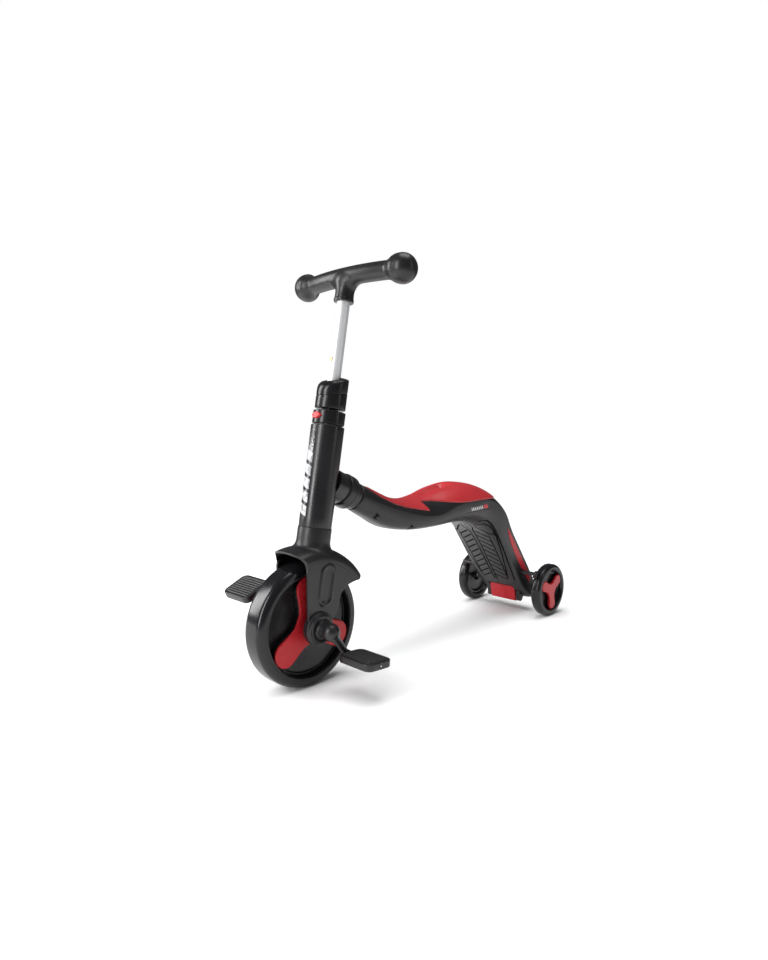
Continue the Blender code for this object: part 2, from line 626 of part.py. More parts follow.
def handlebar(finish):
    """A swept bar with ball ends, blended into the socket that holds the stem."""
    offset = BAR_LEVEL
    span = BAR_BALL_X - 8.0
    rings = []
    for x in np.linspace(-span, span, 11):
        back = BAR_SWEEP * (x / BAR_BALL_X) ** 2
        slope = 2 * BAR_SWEEP * x / BAR_BALL_X**2
        radius = BAR_RADIUS - 1.6 * (abs(x) / BAR_BALL_X) ** 4
        ring = []
        for j in range(16):
            a = 2 * pi * j / 16
            out = radius * cos(a)
            ring.append((x - out * slope, back + out, offset + radius * sin(a)))
        rings.append(ring)
    bar = loft("handlebar", rings, STEER, finish["black"])
    for side in (1, -1):
        spot = STEER @ Matrix.Translation(Vector((side * BAR_BALL_X, BAR_SWEEP, offset)) * MM)
        spot = spot @ Matrix.Rotation(pi / 2, 4, "Y")
        join(bar, ball("grip_ball", BAR_BALL_RADIUS, spot, steps=14, rows=7))
    ellipses = ((SOCKET_FOOT, 16.0, 16.0), (SOCKET_FOOT + 1.0, 16.6, 16.6))
    ellipses += ((542.0, 16.6, 16.6), (544.0, 15.2, 15.2))
    ellipses += ((553.0, 15.4, 15.2), (560.0, 17.6, 15.1), (566.0, 22.5, 14.4), (571.0, 31.0, 12.6))
    ellipses += ((575.0, 42.0, 9.5), (580.0, 44.0, 6.0))
    rings = []
    for level, wide, deep in ellipses:
        turn = [2 * pi * j / 16 for j in range(16)]
        rings.append([(wide * cos(a), deep * sin(a), level) for a in turn])
    join(bar, loft("socket", rings, STEER))
    cut(bar, rod("stem_socket", STEM_RADIUS + CLEARANCE, 530, 572, 20, STEER))
    for side in (1, -1):
        spot = STEER @ Matrix.Translation(Vector((side * 88.0, BAR_SWEEP * 0.58, offset)) * MM)
        spot = spot @ Matrix.Rotation(pi / 2, 4, "X")
        cut(bar, rod("pin_hole", 1.8, 6.0, 30.0, 12, spot))


# Rear body


def body_stations(count):
    """The driving stations run through a smooth curve, with count places evenly along the body."""
    keys = np.array(STATIONS)
    steps = np.hypot(*np.diff(keys[:, :2], axis=0).T)
    along = np.concatenate(([0.0], np.cumsum(steps)))
    slopes = np.gradient(keys, along, axis=0)
    places = np.linspace(0.0, along[-1], count)
    left = np.clip(np.searchsorted(along, places, side="right") - 1, 0, len(along) - 2)
    gap = (along[left + 1] - along[left])[:, None]
    u = ((places - along[left]) / gap[:, 0])[:, None]
    start, end = keys[left], keys[left + 1]
    rise, fall = slopes[left] * gap, slopes[left + 1] * gap
    return (2 * u**3 - 3 * u**2 + 1) * start + (u**3 - 2 * u**2 + u) * rise + (
        3 * u**2 - 2 * u**3) * end + (u**3 - u**2) * fall


def body_section(values, inset):
    """One closed section in its own plane, from the top round the left side, moved inwards by inset."""
    wide, over, level, under, square, crown, round_a, round_b = values
    turn = np.linspace(0, pi / 2, TOP_POINTS, endpoint=False)
    share = np.sin(turn)
    top_x = wide * share
    top_h = level + (over - level) * (1 - share**round_b) ** round_a
    turn = np.linspace(0, pi / 2, UNDER_POINTS)
    low_x = wide * np.abs(np.cos(turn)) ** (2 / square)
    low_x[-1] = 0.0
    low_h = level - (level + under) * np.sin(turn) ** (2 / square)
    low_h -= crown * (1 - (low_x / wide) ** 2)
    half_x = np.concatenate((top_x, low_x))
    half_h = np.concatenate((top_h, low_h))
    x = np.concatenate((half_x, -half_x[-2:0:-1]))
    h = np.concatenate((half_h, half_h[-2:0:-1]))
    step_x = np.roll(x, -1) - np.roll(x, 1)
    step_h = np.roll(h, -1) - np.roll(h, 1)
    length = np.hypot(step_x, step_h)
    depth = np.asarray(inset, float)
    if depth.ndim:
        depth = np.concatenate((depth, depth[-2:0:-1]))
    return x + depth * step_h / length, h - depth * step_x / length


def body_loft(name, inset=0.0, count=RINGS, ends=0, material=None):
    """The rear body's outer form moved inwards by inset, without so many rings at each end."""
    rings = []
    for row in body_stations(count)[ends : count - ends]:
        y, z, slope = row[:3]
        x, h = body_section(row[3:], inset)
        lean = radians(slope)
        rings.append(np.stack((x, y - h * sin(lean), z + h * cos(lean)), axis=-1))
    return loft(name, rings, material=material)


def deck_point(down, inward):
    """Side-view (y, z) of a place on the deck, down its slope and inwards from the tread's edge line."""
    y = DECK_POINT[0] + down * cos(DECK_SLOPE) + inward * sin(DECK_SLOPE)
    z = DECK_POINT[1] - down * sin(DECK_SLOPE) + inward * cos(DECK_SLOPE)
    return y, z


def side_prism(name, outline, low, high, material=None, bevel=0.0):
    """A side-view outline of (y, z) pairs, extruded across the scooter from x low to x high."""
    return prism(name, outline, low, high, frame_at(0, 0, 0, (1, 0, 0), (0, 1, 0)), material, bevel)


def deck_prism(name, outline, low, high, material=None, bevel=0.0):
    return side_prism(name, [deck_point(*pair) for pair in outline], low, high, material, bevel)


def grown(outline, by):
    """An outline moved outwards by a small distance."""
    points = np.array(outline)
    area = np.sum(points[:, 0] * np.roll(points[:, 1], -1) - points[:, 1] * np.roll(points[:, 0], -1))
    sign = 1.0 if area > 0 else -1.0
    before = points - np.roll(points, 1, axis=0)
    after = np.roll(points, -1, axis=0) - points
    normals = []
    for edge in (before, after):
        edge = edge / np.linalg.norm(edge, axis=1)[:, None]
        normals.append(np.stack((edge[:, 1], -edge[:, 0]), axis=-1) * sign)
    mean = normals[0] + normals[1]
    mean /= np.maximum(np.sum(mean * normals[0], axis=1), 0.5)[:, None]
    return [tuple(pair) for pair in points + mean * by]


SADDLE_EDGE = (
    (131, 345), (141, 317), (150, 307), (162, 299), (193, 283.5), (220, 275), (248, 269), (272, 264.5),
    (265.5, 281.5), (288, 281), (319, 277), (350, 274), (383, 273.5), (417, 274), (470, 272.5), (488, 281), (510, 320),
    (400, 380), (131, 380),
)
LABEL_EDGE = ((364, 251.5), (440, 255.0), (444, 258.5), (446, 264.0), (443, 266.5), (366, 263.5))
TRIM_EDGE = (
    (509, 206), (519, 198.5), (549, 161.6), (580, 124.4), (607.7, 92.7), (611.5, 82), (608, 73), (600, 72),
    (577, 98.1), (550, 133.2), (527, 170.7),
)
SCREW_PLACES = ((151.1, 264.8, 38.0), (226.9, 238.9, 50.0), (372.8, 240.2, 60.0))


def inlay(name, edge, proud, depth, low, high, material):
    """A panel that follows the body's surface inside a side-view edge."""
    panel = body_loft(name, -proud, material=material)
    cut(panel, body_loft("panel_back", depth))
    return keep(panel, side_prism("panel_edge", edge, low, high))


def pocket(edge, depth, low, high):
    """The space that an inlay sits in."""
    space = side_prism("pocket", grown(edge, CLEARANCE), low, high)
    return cut(space, body_loft("pocket_floor", depth + CLEARANCE))


def seat_channel():
    """A cutter for the long dip down the middle of the seat, deepest at its centre."""
    row = body_stations(121)
    lean = np.radians(row[:, 2])
    y = row[:, 0] - row[:, 4] * np.sin(lean)
    z = row[:, 1] + row[:, 4] * np.cos(lean)
    inside = (y > CHANNEL_START) & (y < CHANNEL_END)
    y, z, lean = y[inside][::3], z[inside][::3], lean[inside][::3]
    rings = []
    for k in range(len(y)):
        share = sin(pi * (k + 0.5) / len(y)) ** 0.5
        turn = np.linspace(0, 2 * pi, 10, endpoint=False)
        across = CHANNEL_HALF_WIDTH * share * np.cos(turn)
        up = SADDLE_PROUD + 2.0 + (CHANNEL_DEPTH + 2.0) * share * np.sin(turn)
        rings.append(np.stack((across, y[k] - up * sin(lean[k]), z[k] + up * cos(lean[k])), axis=-1))
    return loft("seat_channel", rings)


def tread_depth(x):
    """How far the crowned tread stands out from the deck's edge line at x."""
    return TREAD_EDGE - TREAD_CROWN * (1 - (x / 61.0) ** 2)


def tread_groove(x0, down0, x1, down1, width=2.2, deep=1.3):
    """A cutter for one straight groove across the crowned tread."""
    corners = []
    for x, down in ((x0, down0), (x1, down1)):
        for across, inward in ((-0.5, -3.0), (0.5, -3.0), (0.5, deep), (-0.5, deep)):
            y, z = deck_point(down + across * width, tread_depth(x) + inward)
            corners.append((x, y, z))
    return corners


def groove_cutter(grooves):
    """All the tread grooves as one mesh of separate blocks."""
    points, faces = [], []
    for corners in grooves:
        base = len(points)
        points += [tuple(point) for point in to_metres(corners)]
        for i in range(4):
            j = (i + 1) % 4
            faces.append((base + i, base + j, base + 4 + j, base + 4 + i))
        faces += [(base + 3, base + 2, base + 1, base), (base + 4, base + 5, base + 6, base + 7)]
    mesh = bpy.data.meshes.new("grooves")
    mesh.from_pydata(points, [], faces)
    made = add_object("grooves", mesh, Matrix())
    shape = bmesh.new()
    shape.from_mesh(mesh)
    bmesh.ops.recalc_face_normals(shape, faces=shape.faces)
    shape.to_mesh(mesh)
    shape.free()
    return made


def tread_grooves():
    """Diagonal grooves and a border groove, for the left half."""
    grooves = []
    for k in range(9):
        down = TREAD_FIRST + k * TREAD_STEP
        grooves.append(tread_groove(12.0, down, 33.0, down + 18.0))
    return grooves


def rear_body(finish):
    """Both half shells with their bosses, pockets, bores and slots."""
    body = body_loft("body_shell_left", material=finish["black"])
    axle = wheel_frame(REAR_AXLE)
    join(body, rod("axle_housing", AXLE_HOUSING_RADIUS, -83.0, 83.0, 18, axle), first=SHELL_SOLVER)
    top = np.full(TOP_POINTS, SADDLE_WALL)
    top[-2:] = 5.5
    under = np.full(UNDER_POINTS, WALL)
    cavity = body_loft("cavity", np.concatenate((top, under)), CAVITY_RINGS, ends=1)
    cut(body, cavity, first=SHELL_SOLVER)
    for place in SCREW_PLACES:
        boss = rod("screw_boss", 5.5, -place[2] + 3, place[2] - 3, 8, wheel_frame(place[:2]))
        join(body, boss, first=SHELL_SOLVER)
    y, z = deck_point(*BRAKE_PIN)
    rib = [(44, 26), (59.5, 26), (59.5, 41), (44, 41)]
    for side in (1, -1):
        join(body, deck_prism("pin_rib", rib, *sorted((side * 16.0, side * 22.0))), first=SHELL_SOLVER)
    cutters = [rod("axle_bore", AXLE_RADIUS_REAR + CLEARANCE, -120, 120, 12, axle)]
    cutters.append(rod("pin_bore", 2.75, -21.0, 21.0, 10, wheel_frame((y, z))))
    bore = NECK_RADIUS + 0.45
    step = [(0, 131.0), (bore, 131.0), (bore, 108.2), (17.6, 108.2), (17.6, 102.8), (bore, 102.8)]
    step += [(bore, 70.0), (0, 70.0)]
    cutters.append(revolve("neck_bore", step, 16, NECK))
    opening = [(73.0, -30), (140, -30), (140, 20.5), (73.0, 20.5)]
    cutters.append(deck_prism("brake_opening", opening, -33.3, 33.3))
    window = [(32.0, 10.5), (46.5, 10.5), (46.5, 23.0), (32.0, 23.0)]
    cutters.append(deck_prism("bar_slots", window, -75, 75))
    well = [(42.0, 6.0), (75.0, 6.0), (75.0, 20.5), (66.0, 26.0), (62.0, 39.4), (42.0, 39.4)]
    cutters.append(deck_prism("lever_well", well, -15.0, 15.0))
    cutters.append(rod("spring_hole", 5.4, 18.0, 34.0, 12, spring_frame()))
    cutters.append(pocket(SADDLE_EDGE, SADDLE_DEPTH, -80, 80))
    cutters.append(side_prism("half", [(50, -50), (750, -50), (750, 450), (50, 450)], -200, 0.15))
    cutters.append(pocket(LABEL_EDGE, 1.2, 20, 90))
    cutters.append(pocket(TRIM_EDGE, 1.4, 20, 90))
    cutters.append(groove_cutter(tread_grooves()))
    border = [(-95, -30), (56, -30), (56, tread_depth(45) + 1.5), (-95, tread_depth(45) + 1.5)]
    cutters.append(deck_prism("border_groove", border, 44.3, 45.7))
    cut(body, *cutters, first=SHELL_SOLVER)
    other = mirrored(body, "body_shell_right")
    for k, (screw_y, screw_z, x) in enumerate(SCREW_PLACES):
        placing = wheel_frame((screw_y, screw_z))
        recess = rod("recess", 4.0, x - 11.0, x + 20, 12, placing)
        bores = (rod("screw_bore", 2.0, -5.0, x + 20, 8, placing), recess)
        cut(body, *bores, first=SHELL_SOLVER)
        cut(other, rod("screw_thread", 2.0, -x * 0.55, 5.0, 8, placing), first=SHELL_SOLVER)
        profile = [(0, x - 8.0), (2.8, x - 8.0), (3.5, x - 8.8), (3.5, x - 10.7), (1.6, x - 10.7)]
        profile += [(1.6, -x * 0.5), (0, -x * 0.5)]
        revolve(f"shell_screw_{k + 1}", profile, 10, placing, finish["steel"])
    saddle = inlay("saddle", SADDLE_EDGE, SADDLE_PROUD, SADDLE_DEPTH, -80, 80, finish["red"])
    cut(saddle, seat_channel())
    label = inlay("label_plate_left", LABEL_EDGE, -0.2, 1.2, 20, 90, finish["silver"])
    mirrored(label, "label_plate_right")
    trim = inlay("side_trim_left", TRIM_EDGE, 0.9, 1.4, 20, 90, finish["red"])
    mirrored(trim, "side_trim_right")
    rod("rear_axle", AXLE_RADIUS_REAR, -102.0, 102.0, 12, axle, finish["steel"], chamfer=0.6)


def spring_frame():
    """Where the brake's return spring stands, its Z inwards from the tread."""
    into = (0.0, sin(DECK_SLOPE), cos(DECK_SLOPE))
    return frame_at(0, *deck_point(81.0, 0.0), into, (1, 0, 0))


def brake(finish):
    """Foot pedal, lever with its cross bar and two shoes, pivot pin and return spring."""
    pin_y, pin_z = deck_point(*BRAKE_PIN)
    pin = wheel_frame((pin_y, pin_z))
    rod("brake_pin", 2.4, -20.7, 20.7, 16, pin, finish["steel"], chamfer=0.4)
    plate = [(76.0, 3.0), (111.0, -12.8), (114.5, -11.0), (116.0, -6.0), (99.0, 8.2), (76.6, 8.2)]
    deck_prism("brake_pedal", plate, -PEDAL_HALF_WIDTH, PEDAL_HALF_WIDTH, finish["red"], bevel=1.6)
    arm = [(33.6, 14.0), (38.0, 11.6), (70.0, 11.5), (77.0, 8.6), (98.5, 8.6), (98.5, 12.0)]
    arm += [(88.0, 15.0), (64.0, 17.5), (58.0, 34.0), (52.0, 38.0), (47.0, 35.5), (34.4, 20.0)]
    lever = deck_prism("brake_lever", arm, -14.0, 14.0, finish["black"])
    bar = wheel_frame(deck_point(*BRAKE_BAR))
    join(lever, rod("bar", BRAKE_BAR_RADIUS, -108.0, 108.0, 16, bar))
    bar_y, bar_z = deck_point(*BRAKE_BAR)
    towards = degrees(atan2(bar_z - REAR_AXLE[1], bar_y - REAR_AXLE[0]))
    inner = REAR_RADIUS + SHOE_GAP
    for side in (1, -1):
        shoe = arc(*REAR_AXLE, inner, towards - 9, towards + 9, 7)
        shoe += arc(*REAR_AXLE, inner + 4.5, towards + 9, towards - 9, 7)
        join(lever, side_prism("shoe", shoe, *sorted((side * 90.0, side * 107.0))))
    cut(lever, rod("pivot", 2.7, -30, 30, 16, pin))
    coil("brake_spring", 4.0, 0.6, 16.6, 33.6, 5, spring_frame(), finish["steel"])


def make_finishes():
    return {
        "black": plastic("black_plastic", (0.022, 0.022, 0.024), 0.38),
        "tyre": plastic("tyre_rubber", (0.016, 0.017, 0.019), 0.33),
        "rubber": plastic("tread_rubber", (0.02, 0.02, 0.02), 0.75),
        "red": plastic("red_plastic", (0.52, 0.02, 0.025), 0.3),
        "steel": plastic("bright_steel", (0.62, 0.62, 0.64), 0.22, 1.0),
        "brass": plastic("brass_screw", (0.6, 0.42, 0.2), 0.35, 1.0),
        "nylon": plastic("bush_nylon", (0.05, 0.05, 0.055), 0.5),
        "silver": plastic("label_blank", (0.45, 0.45, 0.47), 0.4),
    }


def merge_flat_faces(piece, angle=FLAT_ANGLE):
    """Dissolves the edges between faces that lie in one plane, and keeps the piece closed."""
    shape = bmesh.new()
    shape.from_mesh(piece.data)
    bmesh.ops.dissolve_limit(shape, angle_limit=radians(angle), verts=shape.verts, edges=shape.edges)
    bmesh.ops.triangulate(shape, faces=shape.faces)
    shape.to_mesh(piece.data)
    shape.free()
    smooth(piece)


def add_axis(name, x, y, z, axis, across=(1, 0, 0)):
    """An empty on a joint's axis, its Z along the axis."""
    made = bpy.data.objects.new(name, None)
    bpy.context.scene.collection.objects.link(made)
    made.matrix_world = frame_at(x, y, z, axis, across)
    return made


def parent_to(child, parent):
    child.parent = parent
    child.matrix_parent_inverse = parent.matrix_world.inverted()


def hang_on_axes(left, right):
    """Parents every piece to an empty on the axis that its body moves about."""
    pin_y, pin_z = deck_point(*BRAKE_PIN)
    y = FRONT_HUB[0] + BUTTON_LEVEL * sin(RAKE)
    z = FRONT_HUB[1] + BUTTON_LEVEL * cos(RAKE)
    sideways = (1, 0, 0)
    axes = {
        "rear_body": add_axis("rear_body", 0, WHEELBASE, 0, (0, 0, 1)),
        "flip_axis": add_axis("flip_axis", 0, *NECK_START, NECK_DIRECTION),
        "lock_ring_axis": add_axis("lock_ring_axis", 0, *NECK_START, NECK_DIRECTION),
        "steering_axis": add_axis("steering_axis", 0, *FRONT_HUB, STEER_DIRECTION),
        "height_axis": add_axis("height_axis", 0, *FRONT_HUB, STEER_DIRECTION),
        "button_axis": add_axis("button_axis", 0, y, z, (0, cos(RAKE), -sin(RAKE))),
        "front_hub_axis": add_axis("front_hub_axis", 0, *FRONT_HUB, sideways, (0, 1, 0)),
        "pedal_left_axis": add_axis("pedal_left_axis", CRANK_X, *left, sideways, (0, 1, 0)),
        "pedal_right_axis": add_axis("pedal_right_axis", -CRANK_X, *right, sideways, (0, 1, 0)),
        "rear_left_axis": add_axis("rear_left_axis", REAR_TRACK_HALF, *REAR_AXLE, sideways, (0, 1, 0)),
        "rear_right_axis": add_axis("rear_right_axis", -REAR_TRACK_HALF, *REAR_AXLE, sideways, (0, 1, 0)),
        "brake_axis": add_axis("brake_axis", 0, pin_y, pin_z, sideways, (0, 1, 0)),
    }
    groups = {
        "rear_body": ("body_shell", "saddle", "label_plate", "side_trim", "shell_screw", "rear_axle",
                      "brake_pin", "brake_spring"),
        "lock_ring_axis": ("neck_lock_ring",),
        "flip_axis": ("head_sleeve", "lower_bush", "upper_bush", "neck_tube", "neck_flange"),
        "steering_axis": ("fork_mudguard", "front_bush", "steerer_tube", "button_ring", "button_spring",
                          "stem_collar"),
        "height_axis": ("stem_tube", "stem_screw", "handlebar"),
        "button_axis": ("height_button",),
        "front_hub_axis": ("front_tyre", "front_rim", "front_spoke", "front_axle", "crank", "pedal_spindle"),
        "pedal_left_axis": ("pedal_body_left", "pedal_tread_top_left", "pedal_tread_under_left"),
        "pedal_right_axis": ("pedal_body_right", "pedal_tread_top_right", "pedal_tread_under_right"),
        "rear_left_axis": ("rear_tyre_left", "rear_rim_left", "rear_spoke_left"),
        "rear_right_axis": ("rear_tyre_right", "rear_rim_right", "rear_spoke_right"),
        "brake_axis": ("brake_pedal", "brake_lever"),
    }
    bpy.context.view_layer.update()
    for axis, starts in groups.items():
        for piece in list(bpy.data.objects):
            if piece.type == "MESH" and piece.name.startswith(starts):
                parent_to(piece, axes[axis])
    parents = (("flip_axis", "rear_body"), ("lock_ring_axis", "rear_body"), ("steering_axis", "flip_axis"))
    parents += (("height_axis", "steering_axis"), ("button_axis", "steering_axis"))
    parents += (("front_hub_axis", "steering_axis"), ("pedal_left_axis", "front_hub_axis"))
    parents += (("pedal_right_axis", "front_hub_axis"), ("rear_left_axis", "rear_body"))
    parents += (("rear_right_axis", "rear_body"), ("brake_axis", "rear_body"))
    for child, parent in parents:
        parent_to(axes[child], axes[parent])


def build():
    clear_scene()
    finish = make_finishes()
    front_wheel(finish)
    left = crank("crank_left", 1, finish)
    right = crank("crank_right", -1, finish)
    pedal("left", 1, *left, PEDAL_TILT_LEFT, finish)
    pedal("right", -1, *right, PEDAL_TILT_RIGHT, finish)
    rear_wheel("left", 1, finish)
    rear_wheel("right", -1, finish)
    fork(finish)
    head_sleeve(finish)
    neck(finish)
    column(finish)
    handlebar(finish)
    rear_body(finish)
    brake(finish)
    for piece in list(bpy.data.objects):
        if piece.type == "MESH" and not piece.name.endswith("_spring"):
            merge_flat_faces(piece)
    hang_on_axes(left, right)


build()
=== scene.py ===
# %% [markdown]
# # A three-in-one children's scooter
#
# This lesson dresses a finished construction model. The construction model holds every piece at its real
# size and place, and each piece belongs to a body that moves. Here the pieces get fine surfaces and
# finishes: glossy tyres, grained black mouldings, a red saddle and a bright stem.

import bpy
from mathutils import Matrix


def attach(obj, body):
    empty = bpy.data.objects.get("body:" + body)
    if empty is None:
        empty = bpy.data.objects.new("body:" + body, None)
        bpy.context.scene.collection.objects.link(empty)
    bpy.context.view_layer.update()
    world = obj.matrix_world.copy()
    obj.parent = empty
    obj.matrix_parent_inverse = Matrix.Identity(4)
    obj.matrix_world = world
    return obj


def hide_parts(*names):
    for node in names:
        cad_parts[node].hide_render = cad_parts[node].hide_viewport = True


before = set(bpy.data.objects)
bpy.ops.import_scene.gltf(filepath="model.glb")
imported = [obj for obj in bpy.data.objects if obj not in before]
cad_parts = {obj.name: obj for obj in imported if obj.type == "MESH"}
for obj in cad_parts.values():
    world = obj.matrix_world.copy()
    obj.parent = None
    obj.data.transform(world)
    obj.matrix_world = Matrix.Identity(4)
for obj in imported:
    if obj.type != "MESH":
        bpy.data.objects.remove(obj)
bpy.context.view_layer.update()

# %% [markdown]
# The fine surfaces are worked out in millimetres, in side-view terms that are easy to measure: y runs
# back from the front hub and z runs up from the floor. One small function moves such points into metres,
# with the origin under the middle of the scooter, where the construction model has it.

# %% Units and the shared frame
from math import cos, pi, radians, sin

import bmesh
import bpy
import numpy as np
from mathutils import Matrix, Vector

MM = 0.001
MIDDLE_Y = 286.9


def to_metres(points):
    """Points in millimetres from the foot of the front hub, as metres from the middle of the footprint."""
    return (np.asarray(points, float) - (0.0, MIDDLE_Y, 0.0)) * MM


def axes_at(origin, axis, across=(1.0, 0.0, 0.0)):
    """Origin in millimetres and a 3 by 3 matrix whose rows are across, the third direction and axis."""
    up = np.array(axis, float) / np.linalg.norm(axis)
    side = np.array(across, float) / np.linalg.norm(across)
    return np.array(origin, float), np.stack((side, np.cross(up, side), up))


def placed(local, axes):
    """Local points times the direction rows, plus the origin, in metres."""
    origin, rows = axes
    return to_metres(np.asarray(local, float) @ rows + origin)


RAKE = radians(10.2)
NECK_SLOPE = radians(26.0)
HUB_HEIGHT = 102.5
WHEELBASE = 618.8
REAR_HEIGHT = 57.4
STEER = axes_at((0, 0, HUB_HEIGHT), (0, sin(RAKE), cos(RAKE)))
NECK = axes_at((0, 42.5, 338.4), (0, cos(NECK_SLOPE), -sin(NECK_SLOPE)))


# %% [markdown]
# ## One way to make every surface
#
# A surface is a grid of points: rows run one way and columns the other, and each square between four
# neighbours is a face. Closing the columns makes a tube, and a row that shrinks to one point makes a pole.
# Making the whole grid as one numpy array is fast and keeps the shape a formula. Blender then merges the
# points that lie on a pole and turns the faces outwards.

# %% From a grid of points to a piece on its body
def grid_faces(rows, columns, around, along):
    """Four corner numbers for each square of the grid, wrapping round where asked."""
    i = np.arange(rows if along else rows - 1)[:, None]
    j = np.arange(columns if around else columns - 1)[None, :]
    below, right = (i + 1) % rows, (j + 1) % columns
    quads = np.stack(
        (i * columns + j, i * columns + right, below * columns + right, below * columns + j), axis=-1)
    return quads.reshape(-1, 4)


def mesh_of(name, points, faces, crease=38.0, outward=True):
    """A mesh with doubles merged, faces turned outwards and edges sharper than crease kept sharp."""
    mesh = bpy.data.meshes.new(name)
    corners = faces.tolist() if isinstance(faces, np.ndarray) else faces
    mesh.from_pydata(np.asarray(points).reshape(-1, 3).tolist(), [], corners)
    shape = bmesh.new()
    shape.from_mesh(mesh)
    bmesh.ops.remove_doubles(shape, verts=shape.verts, dist=0.000004)
    bmesh.ops.dissolve_degenerate(shape, edges=shape.edges, dist=0.000001)
    if outward:
        bmesh.ops.recalc_face_normals(shape, faces=shape.faces)
    shape.to_mesh(mesh)
    shape.free()
    mesh.shade_smooth()
    mesh.set_sharp_from_angle(angle=radians(crease))
    return mesh


MADE = []


def piece(name, mesh, finish, body, *nodes, slot=None):
    """Puts a finished mesh in the scene, on a body, in place of the named construction nodes."""
    made = bpy.data.objects.new(name, mesh)
    bpy.context.scene.collection.objects.link(made)
    mesh.materials.append(finish)
    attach(made, body)
    if nodes:
        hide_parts(*nodes)
    MADE.append(made)
    print(f"{name}: {len(mesh.vertices)} points, {len(mesh.polygons)} faces")
    return made


def joined(name, meshes, crease=38.0):
    """Several meshes as one."""
    shape = bmesh.new()
    for mesh in meshes:
        shape.from_mesh(mesh)
    whole = bpy.data.meshes.new(name)
    shape.to_mesh(whole)
    shape.free()
    whole.shade_smooth()
    whole.set_sharp_from_angle(angle=radians(crease))
    return whole


# %% [markdown]
# Most round pieces are turned: a profile of radius and height is carried round an axis. Real mouldings
# have no knife edges, so each corner of a profile is given as a point with a rounding, and the rounding is
# a short curve through the two places where it leaves the straight lines.

# %% Turned pieces from profiles with round corners
def rounded(corners, closed=False, count=5):
    """Replaces each (a, b, rounding) corner by a circular arc that leaves both lines at that distance.

    The arc is a rational quadratic curve whose middle weight is the sine of half the corner's angle. Where
    two arcs ask for more than the line between them has, both are reduced.
    """
    corners = np.array([(*c, 0.0)[:3] for c in corners], float)
    points = corners[:, :2]
    before, after = np.roll(points, 1, axis=0), np.roll(points, -1, axis=0)
    if not closed:
        before[0], after[-1] = points[0], points[-1]
    to_before, to_after = before - points, after - points
    size_before = np.maximum(np.linalg.norm(to_before, axis=1), 1e-9)
    size_after = np.maximum(np.linalg.norm(to_after, axis=1), 1e-9)
    reach = corners[:, 2].copy()
    if not closed:
        reach[[0, -1]] = 0.0
    room_after = 0.98 * size_after / np.maximum(reach + np.roll(reach, -1), 1e-9)
    room_before = 0.98 * size_before / np.maximum(reach + np.roll(reach, 1), 1e-9)
    reach *= np.minimum(1.0, np.minimum(room_before, room_after))
    away_before, away_after = to_before / size_before[:, None], to_after / size_after[:, None]
    start = points + away_before * reach[:, None]
    end = points + away_after * reach[:, None]
    weight = np.sqrt(np.clip(0.5 - 0.5 * np.sum(away_before * away_after, axis=1), 0, 1))[:, None, None]
    u = np.linspace(0, 1, count)[None, :, None]
    a, b, c = (1 - u) ** 2, 2 * u * (1 - u) * weight, u**2
    curve = (a * start[:, None] + b * points[:, None] + c * end[:, None]) / (a + b + c)
    keep = np.ones((len(points), count), bool)
    keep[reach < 1e-6, 1:] = False
    return curve[keep]


def turned_points(profile, steps, axes):
    """Radius times the cosine and sine of the turn, and the height along the axis."""
    turn = np.linspace(0, 2 * pi, steps, endpoint=False)[None, :]
    radius, height = np.asarray(profile, float).T[:, :, None]
    local = np.stack((radius * np.cos(turn), radius * np.sin(turn), height + 0 * turn), axis=-1)
    return placed(local, axes)


def turned(name, corners, steps, axes, closed=False, crease=38.0, count=5):
    profile = rounded(corners, closed, count)
    grid = turned_points(profile, steps, axes)
    return mesh_of(name, grid, grid_faces(*grid.shape[:2], True, closed), crease)


# %% [markdown]
# ## Finishes
#
# Moulded plastic is one colour all through, but it is never a plain flat colour: the mould leaves a fine
# grain and handling leaves slightly smoother patches. Each finish is a Principled shader whose roughness
# and bump come from noise in Object coordinates, so the pattern stays put on the piece from every side.

